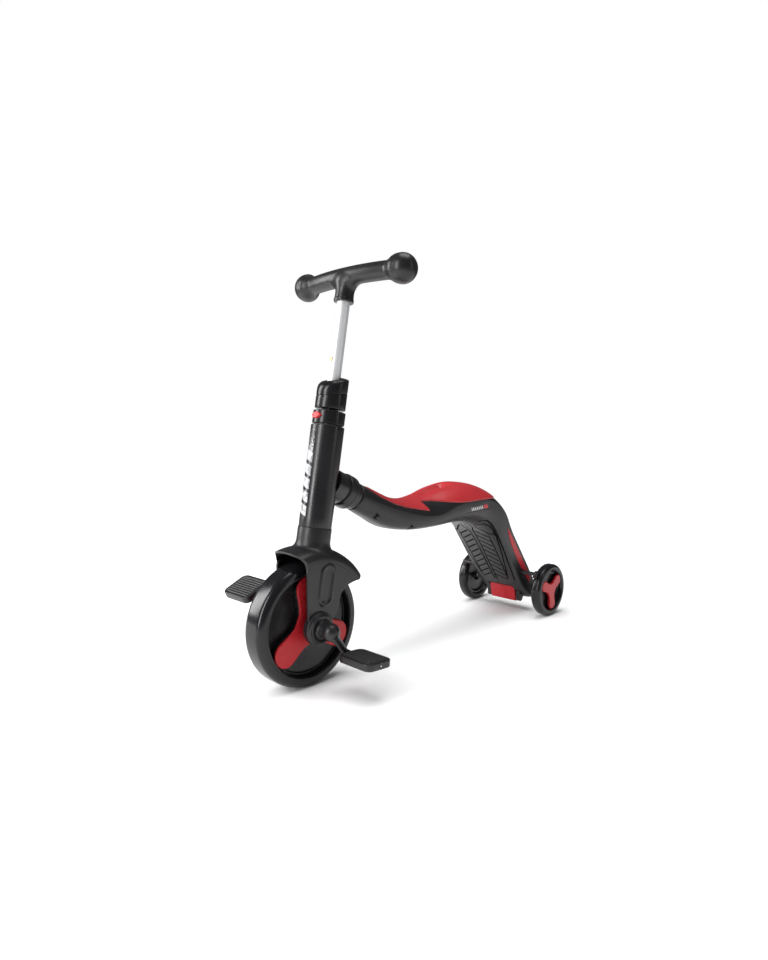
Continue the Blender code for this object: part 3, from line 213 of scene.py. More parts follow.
# %% A helper for grained finishes
def finish_of(name, colour, roughness, grain=900.0, bump=0.02, drift=0.06, metallic=0.0, tone=0.12,
              shine=0.5):
    """A Principled shader with a fine bump, a slow change of roughness and a faint change of tone."""
    made = bpy.data.materials.new(name)
    made.use_nodes = True
    nodes, links = made.node_tree.nodes, made.node_tree.links
    shader = nodes["Principled BSDF"]
    shader.inputs["Metallic"].default_value = metallic
    shader.inputs["Specular IOR Level"].default_value = shine
    place = nodes.new("ShaderNodeTexCoord")
    fine = nodes.new("ShaderNodeTexNoise")
    fine.inputs["Scale"].default_value = grain
    fine.inputs["Detail"].default_value = 3.0
    slow = nodes.new("ShaderNodeTexNoise")
    slow.inputs["Scale"].default_value = 14.0
    slow.inputs["Detail"].default_value = 5.0
    height = nodes.new("ShaderNodeBump")
    height.inputs["Strength"].default_value = bump * 8
    height.inputs["Distance"].default_value = 0.00006
    rough = nodes.new("ShaderNodeMapRange")
    rough.inputs["From Min"].default_value = 0.3
    rough.inputs["From Max"].default_value = 0.7
    rough.inputs["To Min"].default_value = max(roughness - drift, 0.03)
    rough.inputs["To Max"].default_value = roughness + drift
    mix = nodes.new("ShaderNodeMix")
    mix.data_type = "RGBA"
    mix.inputs["A"].default_value = (*colour, 1.0)
    mix.inputs["B"].default_value = (*[min(c * (1 + tone) + 0.002, 1.0) for c in colour], 1.0)
    for texture in (fine, slow):
        links.new(place.outputs["Object"], texture.inputs["Vector"])
    links.new(fine.outputs["Fac"], height.inputs["Height"])
    links.new(height.outputs["Normal"], shader.inputs["Normal"])
    links.new(slow.outputs["Fac"], rough.inputs["Value"])
    links.new(rough.outputs["Result"], shader.inputs["Roughness"])
    links.new(slow.outputs["Fac"], mix.inputs["Factor"])
    links.new(mix.outputs["Result"], shader.inputs["Base Color"])
    return made


BLACK = (0.0085, 0.0076, 0.0086)
RED = (0.43, 0.014, 0.02)
satin_black = finish_of("satin_black_moulding", BLACK, 0.36, grain=1500, bump=0.02, shine=0.45)
gloss_black = finish_of("gloss_black_moulding", (0.006, 0.0055, 0.0062), 0.27, grain=900, bump=0.0015,
                        drift=0.03, shine=0.4)
groove_shaded_black = finish_of("grooved_black_moulding", BLACK, 0.36, grain=1500, bump=0.02)
matt_black = finish_of("matt_black_tread", (0.02, 0.0195, 0.02), 0.45, grain=1800, bump=0.05)
tyre_black = finish_of("polished_tyre", (0.0055, 0.0052, 0.0064), 0.22, grain=600, bump=0.003, drift=0.03,
                       shine=0.34)
spoke_red = finish_of("gloss_red_insert", RED, 0.3, grain=1200, bump=0.006, shine=0.28)
saddle_red = finish_of("grained_red_saddle", (0.43, 0.016, 0.021), 0.4, grain=1600, bump=0.02, shine=0.75)
# Painted shade: a near-black finish for thin sheets that stand in for hollows.
painted_shade_black = finish_of("shadow_black", (0.003, 0.003, 0.003), 0.7, grain=900, bump=0.01)
stem_steel = finish_of("silver_stem", (0.74, 0.745, 0.755), 0.4, grain=350, bump=0.0004, drift=0.02,
                       metallic=0.45, tone=0.02)
screw_steel = finish_of("zinc_screw", (0.5, 0.5, 0.51), 0.34, grain=700, bump=0.02, metallic=1.0)
screw_brass = finish_of("brass_screw", (0.62, 0.45, 0.2), 0.3, grain=700, bump=0.02, metallic=1.0)
bush_nylon = finish_of("nylon_bush", (0.06, 0.06, 0.065), 0.5, grain=900, bump=0.02)

# %% [markdown]
# The grooves get painted shade: the body's moulding is painted darker, and reflects less, with the depth
# that each point was pressed in. The depth travels with the mesh as an attribute.

# %% Paint shade into the grooves
tree = groove_shaded_black.node_tree
shader = tree.nodes["Principled BSDF"]
pressed_in = tree.nodes.new("ShaderNodeAttribute")
pressed_in.attribute_name = "groove"
share = tree.nodes.new("ShaderNodeMapRange")
share.inputs["From Min"].default_value = 0.1
share.inputs["From Max"].default_value = 1.3
# Painted shade: in the grooves the base colour is mixed towards near-black and the specular level is lowered.
painted_groove_shade = tree.nodes.new("ShaderNodeMix")
painted_groove_shade.data_type = "RGBA"
painted_groove_shade.inputs["B"].default_value = (0.0015, 0.0015, 0.0015, 1.0)
groove_shade_gloss = tree.nodes.new("ShaderNodeMapRange")
groove_shade_gloss.inputs["To Min"].default_value = 0.45
groove_shade_gloss.inputs["To Max"].default_value = 0.08
tree.links.new(pressed_in.outputs["Fac"], share.inputs["Value"])
tree.links.new(share.outputs["Result"], painted_groove_shade.inputs["Factor"])
tree.links.new(shader.inputs["Base Color"].links[0].from_socket, painted_groove_shade.inputs["A"])
tree.links.new(painted_groove_shade.outputs["Result"], shader.inputs["Base Color"])
tree.links.new(share.outputs["Result"], groove_shade_gloss.inputs["Value"])
tree.links.new(groove_shade_gloss.outputs["Result"], shader.inputs["Specular IOR Level"])
print("grooves darken with depth")

# %% [markdown]
# The sleeve carries a printed silver band on its front, and each side of the body has a small printed
# place. Here both prints are plain: equal slanted bars, with specks above them on the sleeve and a red
# block beside them on the label. None of them forms a letter. A print is a mask worked out from where a
# point lies on the piece, and the mask picks between the black moulding and the ink.


# %% Printed bands from plain sums
class Sums:
    """Small helper that adds math nodes to a material; inputs are numbers or sockets."""

    def __init__(self, material):
        self.tree = material.node_tree
        self.place = self.tree.nodes.new("ShaderNodeTexCoord").outputs["Object"]

    def plug(self, socket, value):
        if isinstance(value, (int, float)):
            socket.default_value = value
        else:
            self.tree.links.new(value, socket)

    def do(self, operation, *values):
        node = self.tree.nodes.new("ShaderNodeMath")
        node.operation = operation
        for socket, value in zip(node.inputs, values):
            self.plug(socket, value)
        return node.outputs[0]

    def along(self, direction, origin):
        """Millimetres from origin along a direction."""
        node = self.tree.nodes.new("ShaderNodeVectorMath")
        node.operation = "DOT_PRODUCT"
        self.tree.links.new(self.place, node.inputs[0])
        node.inputs[1].default_value = tuple(float(d) * 1000 for d in direction)
        return self.do("SUBTRACT", node.outputs["Value"], float(np.dot(direction, to_metres(origin)) * 1000))

    def noise(self, scale, detail=2.0):
        node = self.tree.nodes.new("ShaderNodeTexNoise")
        node.inputs["Scale"].default_value = scale
        node.inputs["Detail"].default_value = detail
        self.tree.links.new(self.place, node.inputs["Vector"])
        return node.outputs["Fac"]

    def ramp(self, value, start, end):
        """0 at start, 1 at end, straight between."""
        node = self.tree.nodes.new("ShaderNodeMapRange")
        for socket, given in zip(node.inputs, (value, start, end, 0.0, 1.0)):
            self.plug(socket, given)
        return node.outputs["Result"]

    def band(self, value, low, high, soft):
        """1 between low and high, 0 outside, with soft borders."""
        return self.do("MULTIPLY", self.ramp(value, low - soft, low + soft),
                       self.ramp(value, high + soft, high - soft))


def add_print(material, mask, ink, roughness):
    """Mixes ink over the base colour where the mask is 1."""
    shader = material.node_tree.nodes["Principled BSDF"]
    for socket, value in (("Base Color", ink), ("Roughness", roughness)):
        old = shader.inputs[socket].links[0].from_socket
        mix = material.node_tree.nodes.new("ShaderNodeMix")
        mix.data_type = "RGBA" if socket == "Base Color" else "FLOAT"
        sockets = [x for x in mix.inputs if x.enabled]
        material.node_tree.links.new(mask, sockets[0])
        material.node_tree.links.new(old, sockets[1])
        if isinstance(value, tuple):
            sockets[2].default_value = (*value, 1.0)
        else:
            sockets[2].default_value = value
        result = [x for x in mix.outputs if x.enabled][0]
        material.node_tree.links.new(result, shader.inputs[socket])


sleeve_black = finish_of("printed_sleeve", BLACK, 0.3, grain=1500, bump=0.01)
sums = Sums(sleeve_black)
level = sums.along(STEER[1][2], STEER[0])
ahead = sums.along(-np.array(STEER[1][1]), STEER[0])
across = sums.along((1.0, 0.0, 0.0), STEER[0])
turned_by = sums.do("MULTIPLY", sums.do("ARCTAN2", across, ahead), 57.3)
slanted = sums.do("ADD", level, sums.do("MULTIPLY", turned_by, 0.16))
BAR_TALL = 16
mask = None
for low in (265, 243, 221, 199, 177):
    bar = sums.do("MULTIPLY", sums.band(slanted, low, low + BAR_TALL, 0.7), sums.band(turned_by, -80, 8, 1.3))
    mask = bar if mask is None else sums.do("MAXIMUM", mask, bar)
worn = sums.ramp(sums.noise(95.0, 6.0), 0.38, 0.5)
scarce = sums.do("ADD", 0.58, sums.do("MULTIPLY", sums.ramp(level, 282, 322), 0.1))
specks = sums.do("GREATER_THAN", sums.noise(420.0, 1.0), scarce)
patch = sums.do("MULTIPLY", sums.band(level, 280, 322, 2), sums.band(turned_by, -48, 6, 2))
specks = sums.do("MULTIPLY", specks, patch)
glow = sums.do("MULTIPLY", sums.band(level, 272, 296, 9), sums.band(turned_by, -44, 2, 6))
glow = sums.do("MULTIPLY", glow, 0.3)
mask = sums.do("MAXIMUM", sums.do("MULTIPLY", mask, sums.do("ADD", 0.4, sums.do("MULTIPLY", worn, 0.6))),
               sums.do("MAXIMUM", specks, glow))
add_print(sleeve_black, mask, (0.5, 0.505, 0.52), 0.35)

label_black = finish_of("printed_label", (0.01, 0.01, 0.011), 0.3, grain=900, bump=0.006)
sums = Sums(label_black)
back = sums.along((0, 1.0, 0.0), (0, 404, 258))
up = sums.along((0, -0.045, 1.0), (0, 404, 258.5))
slanted = sums.do("ADD", back, sums.do("MULTIPLY", up, 0.5))
strokes = sums.do("GREATER_THAN", sums.do("SINE", sums.do("MULTIPLY", slanted, 1.1)), -0.1)
patch = sums.do("MULTIPLY", sums.band(up, -3.4, 3.6, 0.5), sums.band(slanted, -22, 16, 1))
add_print(label_black, sums.do("MULTIPLY", strokes, patch), (0.6, 0.6, 0.6), 0.35)
accent = sums.do("MULTIPLY", sums.band(slanted, 17.5, 31, 0.7), sums.band(up, -3.8, 4.2, 0.5))
add_print(label_black, accent, (0.55, 0.03, 0.03), 0.35)
print("printed bands ready")

# %% [markdown]
# ## Slabs
#
# Many mouldings are slabs: a flat outline with some thickness and soft edges. The edge is a short profile
# of how far in from the outline and how high it stands, carried round the outline. Where the profile is
# closed the result is a ring; otherwise the two flat faces close it.

# %% Slabs and rings from outlines
def outward_normals(outline):
    """Unit normals of a closed outline, pointing out whichever way it runs."""
    ahead, behind = np.roll(outline, -1, axis=0), np.roll(outline, 1, axis=0)
    run = ahead - behind
    run /= np.maximum(np.linalg.norm(run, axis=1), 1e-9)[:, None]
    area = np.sum(outline[:, 0] * ahead[:, 1] - outline[:, 1] * ahead[:, 0])
    return np.stack((run[:, 1], -run[:, 0]), axis=-1) * np.sign(area)


def spaced(outline, step):
    """The closed outline again, with points at even steps along it."""
    ring = np.concatenate((outline, outline[:1]))
    along = np.concatenate(([0.0], np.cumsum(np.linalg.norm(np.diff(ring, axis=0), axis=1))))
    places = np.linspace(0, along[-1], max(int(along[-1] / step), 12), endpoint=False)
    return np.stack([np.interp(places, along, ring[:, k]) for k in (0, 1)], axis=-1)


def slab_mesh(name, corners, profile, axes, ring=False, step=1.2, crease=38.0):
    """Outline corners with roundings, and a profile of (inset, height) from the lower face to the upper."""
    outline = spaced(rounded(corners, closed=True, count=9), step)
    normals = outward_normals(outline)
    rows = np.asarray(profile, float)
    flat = outline[None] - normals[None] * rows[:, 0][:, None, None]
    height = np.broadcast_to(rows[:, 1][:, None, None], (*flat.shape[:2], 1))
    grid = np.concatenate((flat, height), axis=-1)
    count = len(outline)
    faces = grid_faces(len(rows), count, True, ring).tolist()
    if not ring:
        last = (len(rows) - 1) * count
        faces += [list(range(count))[::-1], list(range(last, last + count))]
    mesh = bpy.data.meshes.new(name)
    mesh.from_pydata(placed(grid, axes).reshape(-1, 3).tolist(), [], faces)
    shape = bmesh.new()
    shape.from_mesh(mesh)
    bmesh.ops.recalc_face_normals(shape, faces=shape.faces)
    shape.to_mesh(mesh)
    shape.free()
    mesh.shade_smooth()
    mesh.set_sharp_from_angle(angle=radians(crease))
    return mesh


def soft_edge(low, high, radius, count=6):
    """The profile of a slab whose edges are rounded on both faces, with a flat margin inside them."""
    turn = np.linspace(pi / 2, 0, count)
    curve = np.stack((radius * (1 - np.cos(turn)), low + radius * (1 - np.sin(turn))), axis=-1)
    upper = np.stack((curve[::-1, 0], low + high - curve[::-1, 1]), axis=-1)
    margin = radius + 0.35
    return np.concatenate(([(margin, low)], curve, upper, [(margin, high)]))


def on_side(x, side):
    """Axes for a side-view outline of (y, z), with Z pointing out sideways from x."""
    return np.array((side * x, 0.0, 0.0)), np.array(((0, 1, 0), (0, 0, 1), (side, 0, 0)), float)


# %% [markdown]
# ## Front wheel
#
# The front tyre is a hard, polished moulding about 205 mm across with a broad flat sidewall, a small
# raised lip and a bevel that drops to a deep dish. A long-wearing solid tyre like this is cast in one
# piece over the rim. Its whole form is one turned profile.

# %% Turn the front tyre and rim
# Local Z points out sideways and local X backwards.
FRONT_HUB = axes_at((0, 0, HUB_HEIGHT), (1, 0, 0), (0, 1, 0))


def tyre_corners(radius, half, rounding, lip, bore, bore_half):
    """Half of the tyre's profile, then the same mirrored."""
    upper = [(bore, bore_half, 0.4), (lip, half - 2.1, 0.5), (lip + 1.6, half - 0.6, 0.7)]
    upper += [(lip + 3.0, half - 1.2, 0.8), (radius, half, rounding)]
    return upper + [(r, -h, e) for r, h, e in reversed(upper)]


front_profile = tyre_corners(HUB_HEIGHT, 24.5, 13.4, 84.9, 82.0, 12.0)
front_tyre = turned("tyre_front", front_profile, 240, FRONT_HUB, True, count=14)
piece("tyre_front", front_tyre, tyre_black, "front_wheel", "front_tyre", slot="tyre")

rim = [(6.2, 32.5, 0), (15, 32.5, 0.6), (16.8, 11.9, 2), (27, 11.9, 1), (28, 8.5, 1.5), (60, 7.6, 4)]
rim += [(78.6, 8.8, 2.0), (79.6, 11.8, 0.5), (81.7, 11.8, 0.3)]
rim += [(r, -h, e) for r, h, e in reversed(rim)]
rim_mesh = turned("rim_front", rim, 180, FRONT_HUB, True)
piece("rim_front", rim_mesh, gloss_black, "front_wheel", "front_rim", slot="black")

# %% [markdown]
# The red spokes are caps with three rounded arms, pressed onto a black web that stands behind them. The
# cap's outline swells at the end of each arm and is drawn in at the waist.


# %% Three-armed caps
def arms(length, end_radius, waist, hub, turn, rounding=1.0):
    """Corners of a three-armed outline; each arm has a round end, a waist and hollow flanks."""
    centre = length - end_radius
    out, touch = end_radius / cos(radians(18)), end_radius * 0.32
    arm = [(hub, -waist * 0.97, 14.0 * rounding), (centre * 0.7, -waist * 1.0, 14.0 * rounding)]
    end = [(centre + out * cos(a), out * sin(a), touch) for a in np.radians((-72, -36, 0, 36, 72))]
    arm = np.array(arm + end + [(x, -y, e) for x, y, e in arm[::-1]])
    outline = []
    for k in range(3):
        c, s = cos(radians(turn + 120 * k)), sin(radians(turn + 120 * k))
        outline += [(c * x - s * y, s * x + c * y, e) for x, y, e in arm]
    return outline


for side, word in ((1, "left"), (-1, "right")):
    axes = (np.array((0, 0, HUB_HEIGHT)), np.array(((0, 1, 0), (0, 0, 1), (side, 0, 0)), float))
    cap = slab_mesh("cap", arms(83.8, 22.4, 20.2, 26.0, 95.4), soft_edge(17.2, 21.8, 2.0), axes)
    web = slab_mesh("web", arms(82.2, 22.4, 20.2, 26.0, 95.4), soft_edge(8.2, 17.0, 0.6), axes)
    piece(f"spoke_cap_{word}", cap, spoke_red, "front_wheel", f"front_spoke_{word}", slot="red")
    piece(f"spoke_web_{word}", web, gloss_black, "front_wheel", slot="black")

# %% [markdown]
# ## Rear wheels
#
# The two small wheels repeat the front one: a polished solid tyre, and a red cap with three arms over a
# black hub. The inner side is a plain dark dish with a short hub tube.

# %% Turn both rear wheels
REAR_HALF_TRACK = 98.75
for side, word in ((1, "left"), (-1, "right")):
    rows = np.array(((0, 1, 0), (0, 0, 1), (side, 0, 0)), float)
    axle = (np.array((side * REAR_HALF_TRACK, WHEELBASE, REAR_HEIGHT)), rows)
    tyre = turned("tyre", tyre_corners(REAR_HEIGHT, 12.5, 9.6, 44.6, 42.4, 7.0), 180, axle, True, count=11)
    piece(f"tyre_rear_{word}", tyre, tyre_black, f"rear_wheel_{word}", f"rear_tyre_{word}", slot="tyre")
    profile = [(4.35, 4.0, 0), (12.0, 4.0, 0.6), (13.0, 1.0, 0.6), (41.0, 1.0, 1), (41.6, 2.5, 0.4)]
    profile += [(42.1, 2.5, 0), (42.1, -6.5, 0), (39, -6.5, 1), (35, -1.0, 1), (12, -2.5, 1.5)]
    profile += [(9, -14.5, 0.5), (4.35, -14.5, 0)]
    piece(f"rim_rear_{word}", turned("rim", profile, 120, axle, True), gloss_black, f"rear_wheel_{word}",
          f"rear_rim_{word}", slot="black")
    outline = arms(42.6, 12.0, 10.2, 13.0, 156.0, 0.5)
    cap = slab_mesh("cap", outline, soft_edge(4.4, 10.4, 1.5), axle, step=0.8)
    piece(f"cap_rear_{word}", cap, spoke_red, f"rear_wheel_{word}", f"rear_spoke_{word}", slot="red")

# %% [markdown]
# ## Steering column
#
# Below the bars the pieces share one leaning axis: the forged-looking crown, a tapered sleeve, the
# ring with the height button, a slanted clamp collar and the bright sliding stem.

# %% Turn the sleeve, the button ring and the neck
sleeve = [(17.6, 159.0, 0), (27.6, 159.0, 0.8), (27.7, 175, 0), (28.0, 320, 0), (28.0, 328.0, 1.0)]
sleeve += [(17.6, 328.0, 0)]
stub = [(15.3, 20.0, 0), (27.3, 20.0, 0), (27.3, 44.3, 0.8), (15.3, 44.3, 0)]
sleeve_mesh = joined("sleeve", [turned("a", sleeve, 160, STEER, True), turned("b", stub, 140, NECK, True)])

ring = [(14.3, 330.4, 0), (26.9, 330.4, 0.6), (26.9, 336, 0.2), (27.0, 352.0, 0.9), (14.3, 352.0, 0)]
ring_mesh = turned("ring", ring, 160, STEER, True)

lock = [(15.45, 78.7, 0), (25.0, 78.7, 0.8), (25.6, 72.0, 1.0), (25.6, 68.0, 0.3), (24.9, 67.3, 0.2)]
lock += [(24.9, 66.6, 0.2)]
lock += [(29.3, 66.2, 1.4), (29.7, 61.2, 0.2), (29.1, 60.8, 0.2), (29.1, 60.2, 0.2), (29.7, 59.8, 0.2)]
lock += [(29.5, 47.8, 1.2), (27.6, 46.0, 0.6), (25.5, 45.6, 0.4), (25.5, 44.9, 0), (15.45, 44.9, 0)]
lock_mesh = turned("lock", lock, 160, NECK, True)


# %% [markdown]
# The clamp collar is a short can with a slanted dome on top. Its top edge is higher at the back than at
# the front, and the dome closes in on the stem in a quarter-ellipse. So each line from foot to stem is the
# same curve with its two heights set by where it stands round the column.

# %% The slanted collar
def collar_grid(steps=144, rise=26):
    """Radius falls from the wall to the stem as a cosine while the height climbs as a sine."""
    turn = np.linspace(0, 2 * pi, steps, endpoint=False)[None, :]
    back = np.sin(turn)
    wall, top = 397.6 + 13.4 * back, 407.2 + 5.4 * back
    u = np.linspace(0, pi / 2, rise)[:, None]
    dome_r = 11.5 + (25.8 - 11.5) * np.cos(u) ** 0.85 + 0 * turn
    dome_s = wall + (top - wall) * np.sin(u)
    foot = np.array(((14.4, 374.0), (14.4, 356.0), (24.9, 356.0), (25.4, 356.2), (25.7, 357.0), (25.8, 366.0),
                     (25.8, 377.6), (25.7, 377.9), (24.9, 378.2), (24.9, 379.0), (25.7, 379.3),
                     (25.8, 379.6)))
    slant = np.where(foot[:, 1:] > 370, 1.0, 0.0) * (6.0 * back + 3.0)
    foot_r, foot_s = foot[:, :1] + 0 * turn, foot[:, 1:] + slant
    radius = np.concatenate((foot_r, dome_r, [11.5 + 0 * turn[0]]))
    level = np.concatenate((foot_s, dome_s, [374.0 + 0 * turn[0]]))
    return placed(np.stack((radius * np.cos(turn), radius * np.sin(turn), level), axis=-1), STEER)


grid = collar_grid()
collar_mesh = mesh_of("collar", grid, grid_faces(*grid.shape[:2], True, True))
piece("clamp_collar", collar_mesh, gloss_black, "fork", "stem_collar", slot="black")
piece("button_holder", ring_mesh, gloss_black, "fork", "button_ring", slot="black")
piece("neck_ring", lock_mesh, satin_black, "lock_ring", "neck_lock_ring", slot="black")

front_of_column = (STEER[0] + STEER[1][2] * 342.5, np.array(((1, 0, 0), STEER[1][2], -STEER[1][1]), float))
button = [(11.6, 0, 0.8), (4.5, 5.0, 3), (-2.5, 5.7, 3), (-8.0, 4.4, 3), (-10.5, 0, 3), (-8.0, -4.4, 3)]
button += [(-2.5, -5.7, 3), (4.5, -5.0, 3)]
button_mesh = slab_mesh("button", button, soft_edge(23.8, 29.4, 1.6), front_of_column, step=0.5)
piece("release_button", button_mesh, spoke_red, "button", "height_button", slot="red")


def held_to_column(mesh, limit):
    """Moves each point straight towards the column's axis until it is at most limit millimetres from it."""
    points = np.empty(len(mesh.vertices) * 3)
    mesh.vertices.foreach_get("co", points)
    foot, axis = np.array(to_metres(STEER[0])), np.array(STEER[1][2])
    away = points.reshape(-1, 3) - foot
    along = (away @ axis)[:, None] * axis
    away = away - along
    share = np.minimum(1.0, limit * MM / np.maximum(np.linalg.norm(away, axis=1), 1e-9))[:, None]
    mesh.vertices.foreach_set("co", (foot + along + away * share).ravel())
    mesh.update()
    return mesh


stem = [(9.9, 232.0, 0), (11.15, 232.0, 0.4), (11.15, 570.0, 0), (9.9, 570.0, 0)]
piece("stem_bright", turned("stem", stem, 96, STEER, True), stem_steel, "bars", "stem_tube", slot="steel")
SCREW_LEVEL = 438.8
screw_spot = (STEER[0] + STEER[1][2] * SCREW_LEVEL, front_of_column[1])
screw = [(0, 11.38, 0), (1.9, 11.36, 0.2), (2.5, 11.2, 0.2), (2.8, 10.8, 0), (0, 10.8, 0)]
screw_mesh = held_to_column(turned("screw", screw, 48, screw_spot), 11.2)
piece("stem_stop_screw", screw_mesh, screw_brass, "bars", "stem_screw", slot="brass")
# The cross recess and the ring round the screw head are thin dark sheets: painted shade, not hollows.
cross = [(-1.5, -0.32, 0.1), (1.5, -0.32, 0.1), (1.5, 0.32, 0.1), (-1.5, 0.32, 0.1)]
shadow = []
for outline in (cross, [(y, x, e) for x, y, e in cross]):
    slot = slab_mesh("slot", outline, soft_edge(11.1, 11.41, 0.05, 2), screw_spot, step=0.2)
    shadow.append(held_to_column(slot, 11.22))
screw_shade_ring = [(2.5, 11.0, 0), (3.7, 11.0, 0), (3.7, 11.25, 0.1), (2.5, 11.45, 0)]
shadow.append(held_to_column(turned("screw_shade_ring", screw_shade_ring, 48, screw_spot, True), 11.19))
piece("stem_screw_shadow", joined("shadow", shadow), painted_shade_black, "bars", slot="black")
print("column pieces turned")

# %% [markdown]
# ## Handlebar
#
# One grid makes the bar and both ball ends: rings stand along a centre line that sweeps back towards the
# ends, and the radius of each ring is the bar's or the ball's, with a soft corner where they meet. The neck
# of the T is a short upright tube. Bar and neck then settle on one common surface: the place where a
# blended distance to both is zero.


# %% The swept bar and its neck
BAR_LEVEL = 582.0
BALL_RADIUS = 24.4
BALL_X = 115.7


def cubic(u, start, end, leave, arrive):
    """A Hermite curve: two values, and how fast the curve leaves the first and arrives at the second."""
    return ((2 * u**3 - 3 * u**2 + 1) * start + (u**3 - 2 * u**2 + u) * leave
            + (3 * u**2 - 2 * u**3) * end + (u**3 - u**2) * arrive)


def bar_radius(x):
    """The slightly tapered bar, the ball as a circle, and a short cubic that rounds the corner between."""
    away = np.abs(x)
    bar = 15.4 - 0.6 * (away / BALL_X) ** 4
    ball = np.sqrt(np.clip(BALL_RADIUS**2 - (away - BALL_X) ** 2, 0, None))
    near, far = 88.0, 103.0
    edge = (BALL_RADIUS**2 - (BALL_X - far) ** 2) ** 0.5
    start = 15.4 - 0.6 * (near / BALL_X) ** 4
    blend = cubic((away - near) / (far - near), start, edge, 0.0, (far - near) * (BALL_X - far) / edge)
    return np.where(away < near, bar, np.where(away < far, blend, ball))


def bar_grid(around=96):
    """Rings along the swept centre line, from one ball's pole to the other's, square to it in the middle."""
    x = (BALL_X + BALL_RADIUS) * np.sin(np.linspace(-1, 1, 401) * pi / 2)
    radius = bar_radius(x)[:, None]
    radius[[0, -1]] = 0
    bend = np.minimum(np.abs(x), BALL_X)
    back = 12.2 * (bend / BALL_X) ** 2
    slope = 2 * 12.2 * x / BALL_X**2 * np.clip((94 - np.abs(x)) / 30, 0, 1)
    turn = np.linspace(0, 2 * pi, around, endpoint=False)[None, :]
    out = radius * np.cos(turn)
    along, height = x[:, None] - out * slope[:, None], BAR_LEVEL + radius * np.sin(turn)
    return np.stack((along, back[:, None] + out, height), axis=-1)


def neck_grid(around=144, rows=70):
    """A straight tube from the socket up into the bar, in the column's own coordinates."""
    turn = np.linspace(0, 2 * pi, around, endpoint=False)[None, :]
    level = np.linspace(544.8, BAR_LEVEL - 1, rows)[:, None]
    radius = neck_radius(level)
    return np.stack((radius * np.cos(turn), radius * np.sin(turn), level + 0 * turn), axis=-1)


def neck_radius(level):
    return 16.2 - 3.6 * np.clip((level - 546) / 36, 0, 1)


def two_distances(local):
    """Distance from each point to the bar and to the neck, negative inside them."""
    x, y, z = np.moveaxis(local, -1, 0)
    centre = 12.2 * (np.minimum(np.abs(x), BALL_X) / BALL_X) ** 2
    bar = np.hypot(y - centre, z - BAR_LEVEL) - bar_radius(x)
    neck = np.sqrt(x**2 + y**2 + np.maximum(z - BAR_LEVEL + 4, 0) ** 2) - neck_radius(z)
    return bar, neck


def blended(local):
    """min(a, b) - s/4 * (1 - |a - b| / s)^2: both distances with a round corner that fades out upwards."""
    bar, neck = two_distances(local)
    fade = np.clip((BAR_LEVEL + 14 - local[..., 2]) / 30, 0, 1)
    size = 21.0 * fade**2 * (3 - 2 * fade) + 0.01
    near = np.clip(1 - np.abs(bar - neck) / size, 0, 1)
    return np.minimum(bar, neck) - size / 4 * near**2


def settled(local, deep):
    """Newton steps until the blended distance is zero; points deep in the other tube or far out stay."""
    steps = np.eye(3) * 0.01
    spot = local.copy()
    for _ in range(14):
        value = blended(spot)
        slope = np.stack([(blended(spot + step) - blended(spot - step)) / 0.02 for step in steps], axis=-1)
        spot = spot - slope * (value / np.maximum(np.sum(slope**2, axis=-1), 0.2))[..., None]
    share = np.where(deep, 0.0, np.clip((78 - np.abs(local[..., 0])) / 34, 0, 1))[..., None]
    return local + (spot - local) * share


bar = bar_grid()
bar = placed(settled(bar, two_distances(bar)[1] < -1.6), STEER)
bar_mesh = mesh_of("bar", bar, grid_faces(*bar.shape[:2], True, False))
neck = neck_grid()
neck = placed(settled(neck, two_distances(neck)[0] < -1.6), STEER)
neck_mesh = mesh_of("neck", neck, grid_faces(*neck.shape[:2], True, False), outward=False)
socket = [(11.45, 560, 0), (11.45, 537.5, 0), (16.2, 537.5, 0.8), (17.0, 538.4, 0.5), (17.0, 542.6, 0.8)]
socket += [(16.2, 543.6, 0.5), (16.2, 545.4, 0), (14.4, 546, 0), (14.4, 560, 0)]
socket_mesh = turned("socket", socket, 120, STEER, True)
# Each dark disc on the bar's front is painted shade for a pin hole.
for side in (1, -1):
    place = STEER[0] + STEER[1][2] * (BAR_LEVEL + 3) + (side * 86.0, 0, 0) + STEER[1][1] * 6.6
    spot = axes_at(place, -STEER[1][1])
    hole = turned("hole", [(0, 14.0, 0), (1.5, 14.0, 0), (1.5, 15.05, 0), (0, 15.05, 0)], 24, spot)
    piece("bar_pin_hole_shade_left" if side > 0 else "bar_pin_hole_shade_right", hole, painted_shade_black, "bars", slot="black")
whole_bar = joined("bar", [bar_mesh, neck_mesh, socket_mesh])
piece("bar_moulding", whole_bar, satin_black, "bars", "handlebar", slot="black")

# %% [markdown]
# ## Fork and mudguard
#
# Fork and guard are one deep moulding. The guard is a section that is carried round the hub: a low crown,
# a round shoulder and a short skirt. Each leg is a broad flat blade under it, with a raised oblong that
# stiffens it, and a round boss at the hub.

# %% Carry the guard's section round the hub
GUARD = 129.2


def guard_section(shrink=0.0, count=72):
    """Half widths and radii from the top centre down to the skirt, moved inwards by shrink."""
    side = 41.2 - shrink
    keys = [(0, GUARD - shrink, 0), (16, GUARD - 0.8 - shrink, 8), (31, GUARD - 4.6 - shrink, 9)]
    keys += [(side, GUARD - 13.6 - shrink, 9), (side, 100.0, 0)]
    line = rounded(keys, count=12)
    along = np.concatenate(([0.0], np.cumsum(np.linalg.norm(np.diff(line, axis=0), axis=1))))
    places = np.linspace(0, along[-1], count)
    return np.stack([np.interp(places, along, line[:, k]) for k in (0, 1)], axis=-1)


